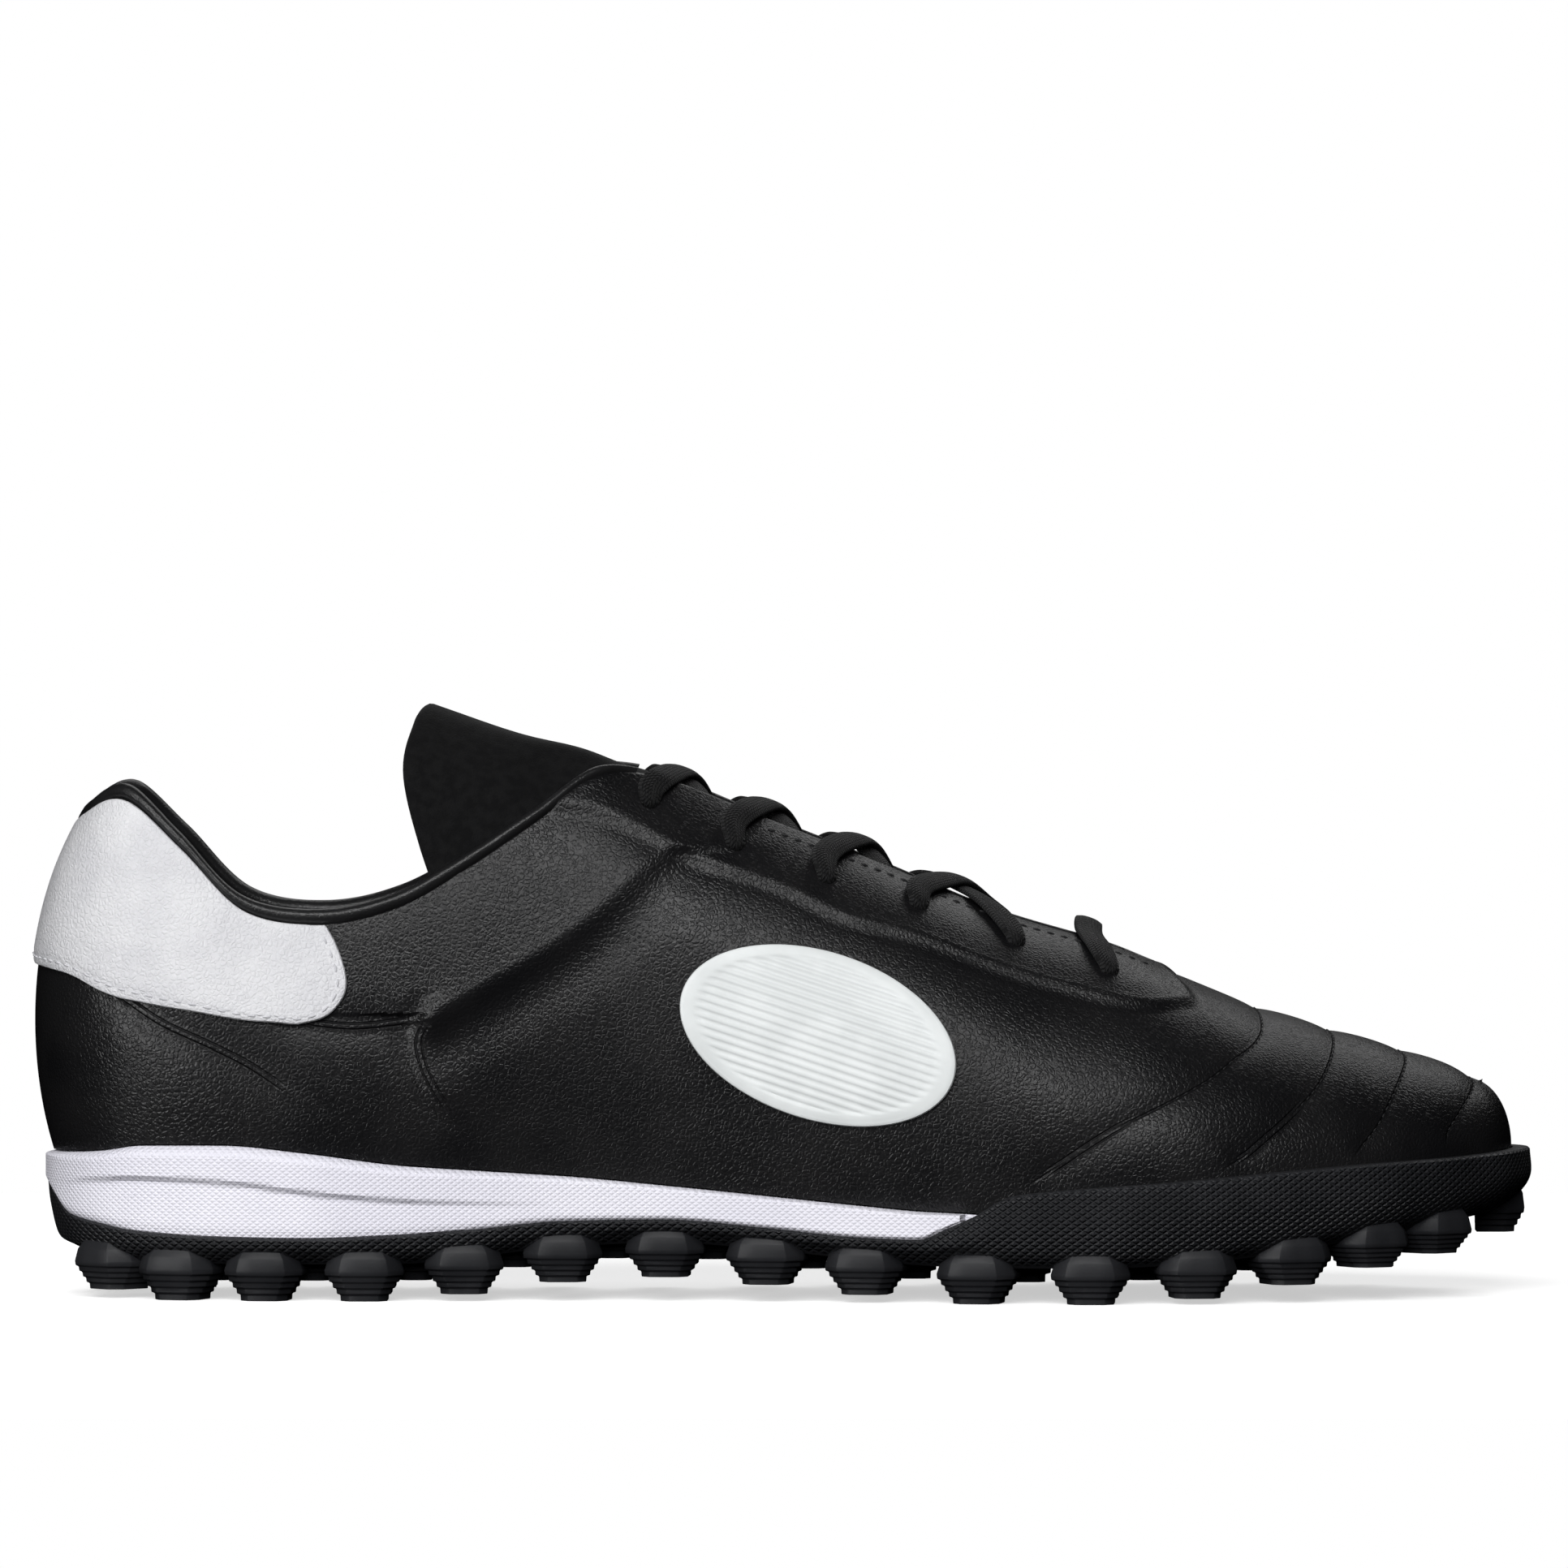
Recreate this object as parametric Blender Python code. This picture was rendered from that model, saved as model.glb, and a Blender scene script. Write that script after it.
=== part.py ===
"""Turf shoe for the right foot, built as separate pieces.

Frame: +X runs from heel to toe, +Y is the inner (medial) side, -Y the outer (lateral) side,
+Z is up and the studs stand on z = 0. Every length is in metres.

The sole and the upper share one set of stations. Station 0 is the back of the heel and
station LAST is the tip of the toe; each station has a point on the sole's outline and a
point on the upper's top line, once for each side of the foot.
"""
import math

import bmesh
import bpy
import numpy as np
from mathutils import Vector

# Driving sizes
LENGTH = 0.296
BALL_WIDTH = 0.104
HEEL_WIDTH = 0.074
SOLE_HEIGHT = 0.030
HEEL_HEIGHT = 0.098
INSTEP_HEIGHT = 0.103

# Walls, clearances and small features
GAP = 0.0003
UPPER_WALL = 0.0020
UPPER_INSET_HEEL = 0.0024
UPPER_INSET_TOE = 0.0046
EYESTAY_STEP = 0.0008
EYELET_DIAMETER = 0.0036
CUP_LIP_INSET = 0.0044
MIDSOLE_STEP = 0.0010
INSOLE_THICKNESS = 0.0028
INSOLE_CLEARANCE = 0.0009
INSOLE_SEAT = 0.0006
TONGUE_THICKNESS = 0.0024
TONGUE_CLEARANCE = 0.0010
TONGUE_SINK = 0.0014
PIPING_WIDTH = 0.0046
PIPING_HEIGHT = 0.0030
HEEL_TAB_THICKNESS = 0.0010
MARK_THICKNESS = 0.0008
LACE_WIDTH = 0.0060
LACE_THICKNESS = 0.0014
LACE_STAND = EYESTAY_STEP + GAP + LACE_THICKNESS / 2 + 0.0006
LACE_ARCH = 0.0012
STUD_LENGTH = 0.0150
STUD_DEPTH = 0.0110
STUD_INSET = 0.0070
INNER_STUD_LENGTH = 0.0090
INNER_STUD_RECESS = 0.0028

LATERAL = -1
MEDIAL = 1

# Heel stations. foot_x and top_x are shares of LENGTH; lateral, medial, mid and half are shares
# of HEEL_WIDTH; top_z is a share of HEEL_HEIGHT; out_low and out_high are shares of HEEL_WIDTH;
# rise and drop are shares of the section's own height.
STATION_COLUMNS = ("foot_x", "lateral", "medial", "top_x", "mid", "half", "top_z",
                   "out_low", "rise", "out_high", "drop")
HEEL_STATIONS = (
    (0.003, 0.000, 0.000, 0.029, 0.00, 0.000, 0.940, 0.090, 0.34, 0.125, 0.25),
    (0.016, 0.200, 0.200, 0.037, 0.00, 0.160, 0.970, 0.080, 0.34, 0.115, 0.25),
    (0.050, 0.360, 0.355, 0.062, 0.00, 0.280, 1.000, 0.062, 0.34, 0.090, 0.26),
    (0.105, 0.455, 0.445, 0.098, 0.00, 0.355, 0.905, 0.050, 0.34, 0.065, 0.28),
    (0.170, 0.500, 0.480, 0.140, 0.00, 0.400, 0.780, 0.045, 0.34, 0.050, 0.30),
    (0.235, 0.510, 0.470, 0.192, 0.00, 0.420, 0.752, 0.040, 0.34, 0.050, 0.30),
    (0.300, 0.505, 0.450, 0.243, 0.00, 0.425, 0.785, 0.035, 0.34, 0.060, 0.30),
    (0.365, 0.500, 0.435, 0.290, 0.00, 0.405, 0.865, 0.030, 0.34, 0.085, 0.28),
)
# Fore stations. The same columns, with widths as shares of BALL_WIDTH and top_z of INSTEP_HEIGHT.
FORE_STATIONS = (
    (0.430, 0.365, 0.315, 0.335, 0.000, 0.255, 0.910, 0.025, 0.34, 0.080, 0.27),
    (0.490, 0.390, 0.345, 0.375, 0.000, 0.195, 0.990, 0.030, 0.34, 0.130, 0.21),
    (0.550, 0.420, 0.390, 0.418, 0.005, 0.140, 0.985, 0.040, 0.35, 0.175, 0.15),
    (0.610, 0.455, 0.440, 0.490, 0.012, 0.115, 0.905, 0.050, 0.36, 0.210, 0.11),
    (0.665, 0.480, 0.480, 0.565, 0.018, 0.100, 0.820, 0.055, 0.37, 0.235, 0.085),
    (0.720, 0.490, 0.505, 0.640, 0.022, 0.087, 0.730, 0.055, 0.38, 0.250, 0.065),
    (0.775, 0.480, 0.505, 0.710, 0.024, 0.074, 0.670, 0.050, 0.39, 0.275, 0.040),
    (0.830, 0.440, 0.480, 0.745, 0.026, 0.000, 0.632, 0.045, 0.40, 0.290, 0.00),
    (0.880, 0.380, 0.440, 0.800, 0.028, 0.000, 0.570, 0.042, 0.42, 0.285, 0.00),
    (0.920, 0.312, 0.390, 0.855, 0.032, 0.000, 0.520, 0.038, 0.44, 0.255, 0.00),
    (0.955, 0.226, 0.318, 0.905, 0.038, 0.000, 0.478, 0.034, 0.46, 0.200, 0.00),
    (0.985, 0.112, 0.224, 0.943, 0.045, 0.000, 0.442, 0.030, 0.46, 0.125, 0.00),
    (1.000, -0.055, 0.055, 0.967, 0.052, 0.000, 0.408, 0.020, 0.42, 0.045, 0.00),
)
LAST = len(HEEL_STATIONS) + len(FORE_STATIONS) - 1
THROAT_BACK = 10
THROAT_FRONT = 15
PIPING_END = 9.65

# Side profile of the sole. x is a share of LENGTH. tip, base, rim, floor and bed are heights as
# shares of SOLE_HEIGHT: stud tips, underside of the rubber, rubber's outer edge, floor of the
# rubber cup and top of the midsole. groove is a share of the midsole's own side.
SOLE_COLUMNS = ("x", "tip", "base", "rim", "floor", "bed", "groove")
SOLE_PROFILE = (
    (0.003, 0.100, 0.333, 0.755, 0.467, 0.945, 0.20),
    (0.020, 0.073, 0.300, 0.550, 0.440, 0.955, 0.50),
    (0.040, 0.053, 0.277, 0.500, 0.420, 0.970, 0.60),
    (0.070, 0.000, 0.250, 0.447, 0.393, 1.010, 0.62),
    (0.125, 0.000, 0.240, 0.417, 0.372, 1.017, 0.60),
    (0.180, 0.000, 0.240, 0.410, 0.365, 0.970, 0.54),
    (0.245, 0.000, 0.243, 0.435, 0.387, 0.890, 0.49),
    (0.290, 0.050, 0.283, 0.470, 0.420, 0.860, 0.44),
    (0.355, 0.127, 0.353, 0.530, 0.477, 0.820, 0.36),
    (0.420, 0.160, 0.383, 0.540, 0.490, 0.760, 0.36),
    (0.485, 0.113, 0.340, 0.490, 0.443, 0.697, 0.36),
    (0.550, 0.053, 0.277, 0.430, 0.385, 0.633, 0.36),
    (0.587, 0.020, 0.247, 0.420, 0.363, 0.600, 0.36),
    (0.605, 0.000, 0.238, 0.490, 0.357, 0.592, 0.36),
    (0.623, 0.000, 0.233, 0.570, 0.353, 0.583, 0.36),
    (0.650, 0.000, 0.233, 0.710, 0.350, 0.560, 0.36),
    (0.700, 0.000, 0.233, 0.760, 0.343, 0.527, 0.36),
    (0.750, 0.020, 0.250, 0.795, 0.360, 0.517, 0.36),
    (0.800, 0.063, 0.287, 0.835, 0.397, 0.533, 0.36),
    (0.850, 0.130, 0.347, 0.875, 0.453, 0.573, 0.36),
    (0.900, 0.220, 0.420, 0.908, 0.520, 0.627, 0.36),
    (0.950, 0.300, 0.493, 0.930, 0.593, 0.693, 0.36),
    (1.000, 0.400, 0.560, 0.960, 0.660, 0.767, 0.36),
)
CUP_START = 0.587
MIDSOLE_TIP = 0.615
GROOVE_END = 0.360

# Studs along each edge of the sole, as shares of LENGTH from the heel
OUTER_STUDS = (0.035, 0.090, 0.152, 0.221, 0.288, 0.353, 0.419, 0.484, 0.549, 0.623, 0.701,
               0.776, 0.844, 0.901, 0.949)
INNER_STUDS = (0.100, 0.160, 0.221, 0.288, 0.549, 0.623, 0.701, 0.776, 0.844, 0.901)
INNER_STUD_SPREAD = 0.105

# Outer edge of the eyestay, x as a share of LENGTH and z as a share of INSTEP_HEIGHT
EYESTAY_EDGE = ((0.362, 0.935), (0.416, 0.868), (0.456, 0.822), (0.497, 0.782), (0.539, 0.725),
                (0.587, 0.688), (0.634, 0.637), (0.682, 0.596), (0.714, 0.572), (0.738, 0.559))
EYESTAY_FRONT = 15.6
EYELETS = ((0.409, 0.942), (0.466, 0.862), (0.527, 0.798), (0.588, 0.746), (0.653, 0.676),
           (0.715, 0.621))

# Lower edge of the heel tab from the back of the heel forward, shares of LENGTH and HEEL_HEIGHT
HEEL_TAB_EDGE = ((0.006, 0.672), (0.030, 0.645), (0.074, 0.604), (0.118, 0.582), (0.166, 0.563),
                 (0.186, 0.568), (0.200, 0.588), (0.207, 0.640))

# Plain oval on each side: centre as shares of LENGTH and INSTEP_HEIGHT, half sizes, tilt
MARK_CENTRE = (0.522, 0.508)
MARK_HALF_LENGTH = 0.0280
MARK_HALF_HEIGHT = 0.0160
MARK_TILT = math.radians(-18.0)

# Free part of the tongue behind the throat. crest_x and edge_x are shares of LENGTH, crest_z and
# edge_z of INSTEP_HEIGHT, side_y and edge_y of HEEL_WIDTH.
TONGUE_COLUMNS = ("crest_x", "crest_z", "side_x", "side_y", "side_z", "edge_x", "edge_y", "edge_z")
TONGUE_ROWS = (
    (0.375, 1.030, 0.360, 0.200, 0.965, 0.375, 0.290, 0.860),
    (0.325, 1.070, 0.310, 0.265, 0.980, 0.325, 0.335, 0.830),
    (0.265, 1.130, 0.252, 0.290, 1.000, 0.268, 0.350, 0.800),
)
TONGUE_FRONT = 15.9
TONGUE_DEPTH = 0.30
TONGUE_CREST = 0.0016
TONGUE_ROUND = 0.0040

MATERIALS = {
    "rubber_black": ((0.018, 0.019, 0.022), 0.55),
    "foam_white": ((0.80, 0.79, 0.86), 0.60),
    "leather_black": ((0.012, 0.012, 0.013), 0.42),
    "leather_white": ((0.76, 0.76, 0.79), 0.50),
    "fabric_black": ((0.010, 0.010, 0.011), 0.85),
    "piping_black": ((0.014, 0.014, 0.015), 0.38),
    "insole_grey": ((0.06, 0.06, 0.065), 0.80),
    "motif_white": ((0.80, 0.82, 0.82), 0.45),
    "lace_black": ((0.012, 0.012, 0.013), 0.80),
}


# Interpolation

def smooth(rows, t):
    """Catmull-Rom curve through evenly spaced rows; the ends carry their own slope on."""
    rows = np.asarray(rows, dtype=float)
    index = int(min(max(math.floor(t), 0), len(rows) - 2))
    f = t - index
    p1 = rows[index]
    p2 = rows[index + 1]
    p0 = rows[index - 1] if index > 0 else 2 * p1 - p2
    p3 = rows[index + 2] if index + 2 < len(rows) else 2 * p2 - p1
    return 0.5 * (2 * p1 + (p2 - p0) * f + (2 * p0 - 5 * p1 + 4 * p2 - p3) * f * f
                  + (3 * p1 - p0 - 3 * p2 + p3) * f ** 3)


def closed(rows, t):
    """The same curve round a closed loop of rows."""
    count = len(rows)
    index = int(math.floor(t)) % count
    window = [rows[(index + step) % count] for step in (-1, 0, 1, 2)]
    return smooth(window, 1 + t - math.floor(t))


def ease(x, low, high):
    """0 below low, 1 above high and a soft slope between."""
    f = min(max((x - low) / (high - low), 0.0), 1.0)
    return f * f * (3 - 2 * f)


def mix(a, b, f):
    return a + (b - a) * f


# Shape of the last

def station_rows():
    """Every station in metres, one dictionary of columns for each row."""
    rows = []
    for table, width, height in ((HEEL_STATIONS, HEEL_WIDTH, HEEL_HEIGHT),
                                 (FORE_STATIONS, BALL_WIDTH, INSTEP_HEIGHT)):
        for values in table:
            row = dict(zip(STATION_COLUMNS, values))
            for name in ("foot_x", "top_x"):
                row[name] *= LENGTH
            for name in ("lateral", "medial", "mid", "half", "out_low", "out_high"):
                row[name] *= width
            row["top_z"] *= height
            rows.append(row)
    return rows


ROWS = station_rows()
OUTLINE = ([(row["foot_x"], -row["lateral"]) for row in ROWS]
           + [(row["foot_x"], row["medial"]) for row in reversed(ROWS[1:-1])])
SHARED = [(row["foot_x"], row["top_x"], row["mid"], row["top_z"], row["out_low"], row["rise"],
           row["out_high"], row["drop"]) for row in ROWS]
SHARED = SHARED + list(reversed(SHARED[1:-1]))
HALF = [row["half"] for row in ROWS]
HALF_ROWS = [-HALF[1]] + HALF[:THROAT_FRONT] + [HALF[THROAT_FRONT - 1]]
SOLE_TABLE = np.array(SOLE_PROFILE)


def outline(side, s):
    """Point on the sole's outline and its outward direction, both in plan."""
    u = s if side == LATERAL else len(OUTLINE) - s
    point = closed(np.array(OUTLINE), u)
    step = 0.02
    along = closed(np.array(OUTLINE), u + step) - closed(np.array(OUTLINE), u - step)
    along /= np.linalg.norm(along)
    return point, np.array([along[1], -along[0]])


def inset_point(side, s, inset, z):
    point, out = outline(side, s)
    flat = point - out * inset
    return np.array([flat[0], flat[1], z])


def throat_half(s):
    """Half width of the opening between the two top lines."""
    last_open = THROAT_FRONT - 1
    if s >= THROAT_FRONT:
        return 0.0
    if s > last_open:
        return HALF[last_open] * math.sqrt(1 - (s - last_open) ** 2)
    return float(smooth(np.array(HALF_ROWS)[:, None], s + 1)[0])


def sole(name, x):
    """Height of one line of the sole at a distance from the heel."""
    column = SOLE_COLUMNS.index(name)
    xs = SOLE_TABLE[:, 0] * LENGTH
    x = min(max(x, xs[0]), xs[-1])
    index = int(min(max(np.searchsorted(xs, x) - 1, 0), len(xs) - 2))
    values = SOLE_TABLE[:, column]
    span = xs[index + 1] - xs[index]
    slopes = []
    for k in (index, index + 1):
        before = (values[k] - values[k - 1]) / (xs[k] - xs[k - 1]) if k > 0 else None
        after = (values[k + 1] - values[k]) / (xs[k + 1] - xs[k]) if k + 1 < len(xs) else None
        if before is None or after is None:
            slopes.append(after if before is None else before)
        elif before * after <= 0:
            slopes.append(0.0)
        else:
            slopes.append(2 * before * after / (before + after))
    f = (x - xs[index]) / span
    a, b = values[index], values[index + 1]
    height = ((2 * f ** 3 - 3 * f ** 2 + 1) * a + (f ** 3 - 2 * f ** 2 + f) * span * slopes[0]
              + (3 * f ** 2 - 2 * f ** 3) * b + (f ** 3 - f ** 2) * span * slopes[1])
    return height if name == "groove" else height * SOLE_HEIGHT


def station_x(s):
    return float(outline(LATERAL, s)[0][0])


def station_at(x):
    """Station whose outline point lies at a distance from the heel."""
    low, high = 0.0, float(LAST)
    for _ in range(40):
        middle = (low + high) / 2
        if station_x(middle) < x:
            low = middle
        else:
            high = middle
    return low


CUP_STATION = station_at(CUP_START * LENGTH)
TIP_STATION = station_at(MIDSOLE_TIP * LENGTH)


def cup(s):
    """0 where the midsole shows, 1 where the rubber wall covers it."""
    return ease(s, CUP_STATION, TIP_STATION)


def upper_inset(s):
    return mix(UPPER_INSET_HEEL, UPPER_INSET_TOE, cup(s))


def crest_slope(s):
    """Slope of the top line along the shoe, from the throat forward."""
    share = ease(s, THROAT_BACK + 2, THROAT_FRONT)
    if share == 0.0:
        return 0.0
    ahead = closed(np.array(SHARED), min(s + 0.05, LAST))
    behind = closed(np.array(SHARED), s - 0.05)
    return share * (ahead[3] - behind[3]) / (ahead[1] - behind[1])


def section(side, s):
    """The four control points of the upper's section at one station."""
    u = s if side == LATERAL else len(OUTLINE) - s
    _, top_x, mid, top_z, out_low, rise, out_high, drop = closed(np.array(SHARED), u)
    _, out = outline(side, s)
    foot = inset_point(side, s, upper_inset(s), sole("bed", station_x(s)) + GAP)
    top = np.array([top_x, mid + side * throat_half(s), top_z])
    height = top[2] - foot[2]
    slope = crest_slope(s)
    low = foot + np.array([out[0] * out_low, out[1] * out_low, height * rise])
    high = top + np.array([out[0] * out_high, out[1] * out_high, out[0] * slope * out_high])
    high[2] -= max(drop, 0.0) * height
    return foot, low, high, top


def upper_at(side, s, v):
    """Point on the upper's outer form, v from 0 at the sole to 1 at the top line."""
    foot, low, high, top = section(side, s)
    w = 1 - v
    return w ** 3 * foot + 3 * w * w * v * low + 3 * w * v * v * high + v ** 3 * top


def upper_normal(side, s, v):
    """Outward direction of the upper's form."""
    ds, dv = 0.02, 0.01
    s0, s1 = max(s - ds, 0.001), min(s + ds, LAST - 0.001)
    v0, v1 = max(v - dv, 0.0), min(v + dv, 1.0)
    if s < THROAT_FRONT < s1:
        s1 = s
    elif s0 < THROAT_FRONT <= s:
        s0 = s
    along = upper_at(side, s1, v) - upper_at(side, s0, v)
    up = upper_at(side, s, v1) - upper_at(side, s, v0)
    normal = np.cross(along, up) * -side
    return normal / np.linalg.norm(normal)


def skin(side, s, v, lift):
    """Point a given distance outside the upper's form."""
    return upper_at(side, s, v) + upper_normal(side, s, v) * lift


def crest_skin(s, v, lift):
    """The same on the line that both sides share."""
    normal = upper_normal(LATERAL, s, v) + upper_normal(MEDIAL, s, v)
    return upper_at(LATERAL, s, v) + normal / np.linalg.norm(normal) * lift


def locate(side, x, z):
    """Station and v of the point of the upper seen at x, z from the side."""
    s, v = 10.0 * x / LENGTH * 2, 0.5
    for _ in range(60):
        here = upper_at(side, s, v)
        miss = np.array([x - here[0], z - here[2]])
        if abs(miss[0]) + abs(miss[1]) < 1e-6:
            break
        ds = (upper_at(side, s + 0.01, v) - here) / 0.01
        dv = (upper_at(side, s, v + 0.001) - here) / 0.001
        jacobian = np.array([[ds[0], dv[0]], [ds[2], dv[2]]])
        change = np.linalg.solve(jacobian, miss)
        change = np.clip(change, (-1.5, -0.15), (1.5, 0.15))
        s = min(max(s + change[0], 0.02), LAST - 0.02)
        v = min(max(v + change[1], 0.0), 0.999)
    return s, v


def edge_line(points, height):
    """Sorted stations and v values of a line given by its side view."""
    found = sorted(locate(LATERAL, x * LENGTH, z * height) for x, z in points)
    return [s for s, _ in found], [v for _, v in found]


# Stations of the mesh

def mesh_stations():
    """Half steps along the shoe, closer at the throat's front and at the midsole's tip."""
    steps = [k / 2 for k in range(2 * LAST + 1)]
    steps += [THROAT_FRONT - 0.2, THROAT_FRONT - 0.05]
    steps = [s for s in steps if abs(s - TIP_STATION) > 0.15]
    steps += [TIP_STATION, TIP_STATION + 0.03]
    return sorted(steps)


STATIONS = mesh_stations()


# Mesh building

def material(name):
    found = bpy.data.materials.get(name)
    if found:
        return found
    colour, roughness = MATERIALS[name]
    made = bpy.data.materials.new(name)
    made.use_nodes = True
    shader = made.node_tree.nodes["Principled BSDF"]
    shader.inputs["Base Color"].default_value = (*colour, 1.0)
    shader.inputs["Roughness"].default_value = roughness
    shader.inputs["Metallic"].default_value = 0.0
    return made


def add_object(name, points, faces, slot, angle=35.0):
    """A named object from points and faces, with its normals turned outward."""
    mesh = bpy.data.meshes.new(name)
    mesh.from_pydata([tuple(p) for p in points], [], faces)
    work = bmesh.new()
    work.from_mesh(mesh)
    bmesh.ops.recalc_face_normals(work, faces=work.faces)
    work.to_mesh(mesh)
    work.free()
    mesh.shade_smooth()
    mesh.set_sharp_from_angle(angle=math.radians(angle))
    mesh.materials.append(material(slot))
    made = bpy.data.objects.new(name, mesh)
    bpy.context.scene.collection.objects.link(made)
    return made


def ring_loft(name, rings, slot, angle=35.0):
    """A solid between rings round the shoe; the first and last are closed straight across."""
    count = len(rings[0])
    points = [p for ring in rings for p in ring]
    faces = []
    for level in range(len(rings) - 1):
        for i in range(count):
            j = (i + 1) % count
            a, b = level * count, (level + 1) * count
            faces.append((a + i, a + j, b + j, b + i))
    half = count // 2
    for base in (0, (len(rings) - 1) * count):
        for i in range(half):
            left = (base + i, base + i + 1)
            right = (base + (count - i - 1) % count, base + (count - i) % count)
            face = [left[0], left[1], right[0], right[1]]
            faces.append(tuple(dict.fromkeys(face)))
    return add_object(name, points, faces, slot, angle)


def around(make):
    """One ring: make(side, station) from the heel along the outer side and back inside."""
    ring = [make(LATERAL, s) for s in STATIONS]
    ring += [make(MEDIAL, s) for s in reversed(STATIONS[1:-1])]
    return ring


def grid_faces(rows, columns, start=0):
    faces = []
    for i in range(rows - 1):
        for j in range(columns - 1):
            a = start + i * columns + j
            faces.append((a, a + 1, a + columns + 1, a + columns))
    return faces


def sheet_solid(name, outer, inner, slot, angle=35.0):
    """A solid sheet between two matching grids of points."""
    rows, columns = len(outer), len(outer[0])
    points = [p for row in outer for p in row] + [p for row in inner for p in row]
    shift = rows * columns
    faces = grid_faces(rows, columns) + grid_faces(rows, columns, shift)
    border = [j for j in range(columns)]
    border += [i * columns + columns - 1 for i in range(1, rows)]
    border += [(rows - 1) * columns + j for j in range(columns - 2, -1, -1)]
    border += [i * columns for i in range(rows - 2, 0, -1)]
    for a, b in zip(border, border[1:] + border[:1]):
        faces.append((a, b, b + shift, a + shift))
    return add_object(name, points, faces, slot, angle)


def boolean(target, cutter, operation):
    """Apply one exact Boolean and remove the second object."""
    step = target.modifiers.new(operation.lower(), "BOOLEAN")
    step.operation = operation
    step.solver = "EXACT"
    step.use_self = operation == "UNION"
    step.object = cutter
    bpy.context.view_layer.update()
    graph = bpy.context.evaluated_depsgraph_get()
    result = bpy.data.meshes.new_from_object(target.evaluated_get(graph))
    target.modifiers.clear()
    target.data = result
    bpy.data.objects.remove(cutter, do_unlink=True)


# Sole

def rim_point(side, s):
    """Inner edge of the rubber wall, just outside the upper."""
    height = sole("rim", station_x(s))
    low, high = 0.0, 0.9
    for _ in range(30):
        middle = (low + high) / 2
        if skin(side, s, middle, GAP)[2] < height:
            low = middle
        else:
            high = middle
    return skin(side, s, high, GAP)


def outsole_rings():
    def bottom(side, s):
        return inset_point(side, s, 0.0062, sole("base", station_x(s)))

    def chamfer(side, s):
        rise = mix(0.0018, 0.0030, cup(s))
        return inset_point(side, s, mix(0.0034, 0.0022, cup(s)), sole("base", station_x(s)) + rise)

    def belly(side, s):
        base, rim = sole("base", station_x(s)), sole("rim", station_x(s))
        return inset_point(side, s, mix(0.0018, 0.0, cup(s)), mix(base, rim, mix(0.62, 0.55, cup(s))))

    def rim_outer(side, s):
        return inset_point(side, s, mix(0.0013, 0.0002, cup(s)), sole("rim", station_x(s)))

    def rim_inner(side, s):
        rim = sole("rim", station_x(s))
        if s <= TIP_STATION:
            return inset_point(side, s, CUP_LIP_INSET, rim)
        if rim <= upper_at(side, s, 0.0)[2]:
            return inset_point(side, s, UPPER_INSET_TOE - GAP, rim)
        return rim_point(side, s)

    def floor(side, s):
        inset = mix(CUP_LIP_INSET + GAP, UPPER_INSET_TOE - GAP, cup(s))
        return inset_point(side, s, inset, sole("floor", station_x(s)))

    return [around(make) for make in (bottom, chamfer, belly, rim_outer, rim_inner, floor)]


def stud_mesh(points, faces, centre, along, out, length, depth, root, tip, terraces):
    """One tapered stud with stepped sides, added to the lists of points and faces."""
    shape = ((-1.0, -1.0), (1.0, -1.0), (1.0, 0.3), (0.6, 1.0), (-0.6, 1.0), (-1.0, 0.3))
    levels = []
    for k in range(terraces):
        share = 1 - 0.38 * k / max(terraces - 1, 1)
        levels.append((mix(root, tip, k / terraces), share))
        levels.append((mix(root, tip, (k + 0.85) / terraces), share * 0.97))
    levels[-1] = (tip, levels[-1][1])
    start = len(points)
    for z, share in levels:
        for a, b in shape:
            flat = centre + along * (a * share * length / 2) + out * (b * share * depth / 2)
            points.append((flat[0], flat[1], z))
    count = len(shape)
    for level in range(len(levels) - 1):
        for i in range(count):
            j = (i + 1) % count
            a, b = start + level * count, start + (level + 1) * count
            faces.append((a + i, b + i, b + j, a + j))
    faces.append(tuple(start + i for i in range(count)))
    top = start + (len(levels) - 1) * count
    faces.append(tuple(top + i for i in reversed(range(count))))


def make_studs():
    """All the studs as one mesh, ready to join the outsole."""
    points, faces = [], []
    for share in OUTER_STUDS:
        s = station_at(share * LENGTH)
        root = sole("base", station_x(s)) + 0.0016
        for side in (LATERAL, MEDIAL):
            point, out = outline(side, s)
            along = np.array([-out[1], out[0]])
            stud_mesh(points, faces, point - out * STUD_INSET, along, out, STUD_LENGTH * 0.95,
                      STUD_DEPTH, root, sole("tip", station_x(s)), 3)
    tip_point, out = outline(LATERAL, LAST)
    stud_mesh(points, faces, tip_point - out * (STUD_INSET + 0.001), np.array([-out[1], out[0]]), out,
              STUD_LENGTH, STUD_DEPTH * 0.8, sole("base", LENGTH), sole("tip", LENGTH), 2)
    for share in INNER_STUDS:
        x = share * LENGTH
        s = station_at(x)
        middle = (outline(LATERAL, s)[0][1] + outline(MEDIAL, s)[0][1]) / 2
        for side in (LATERAL, MEDIAL):
            centre = np.array([x, middle + side * INNER_STUD_SPREAD * BALL_WIDTH])
            root = sole("base", x) + 0.0010
            tip = sole("tip", x) + INNER_STUD_RECESS
            stud_mesh(points, faces, centre, np.array([1.0, 0.0]), np.array([0.0, float(side)]),
                      INNER_STUD_LENGTH, INNER_STUD_LENGTH, root, tip, 1)
    return add_object("studs", points, faces, "rubber_black")


def make_outsole():
    body = ring_loft("outsole", outsole_rings(), "rubber_black")
    boolean(body, make_studs(), "UNION")
    body.data.shade_smooth()
    body.data.set_sharp_from_angle(angle=math.radians(30.0))
    return body


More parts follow.
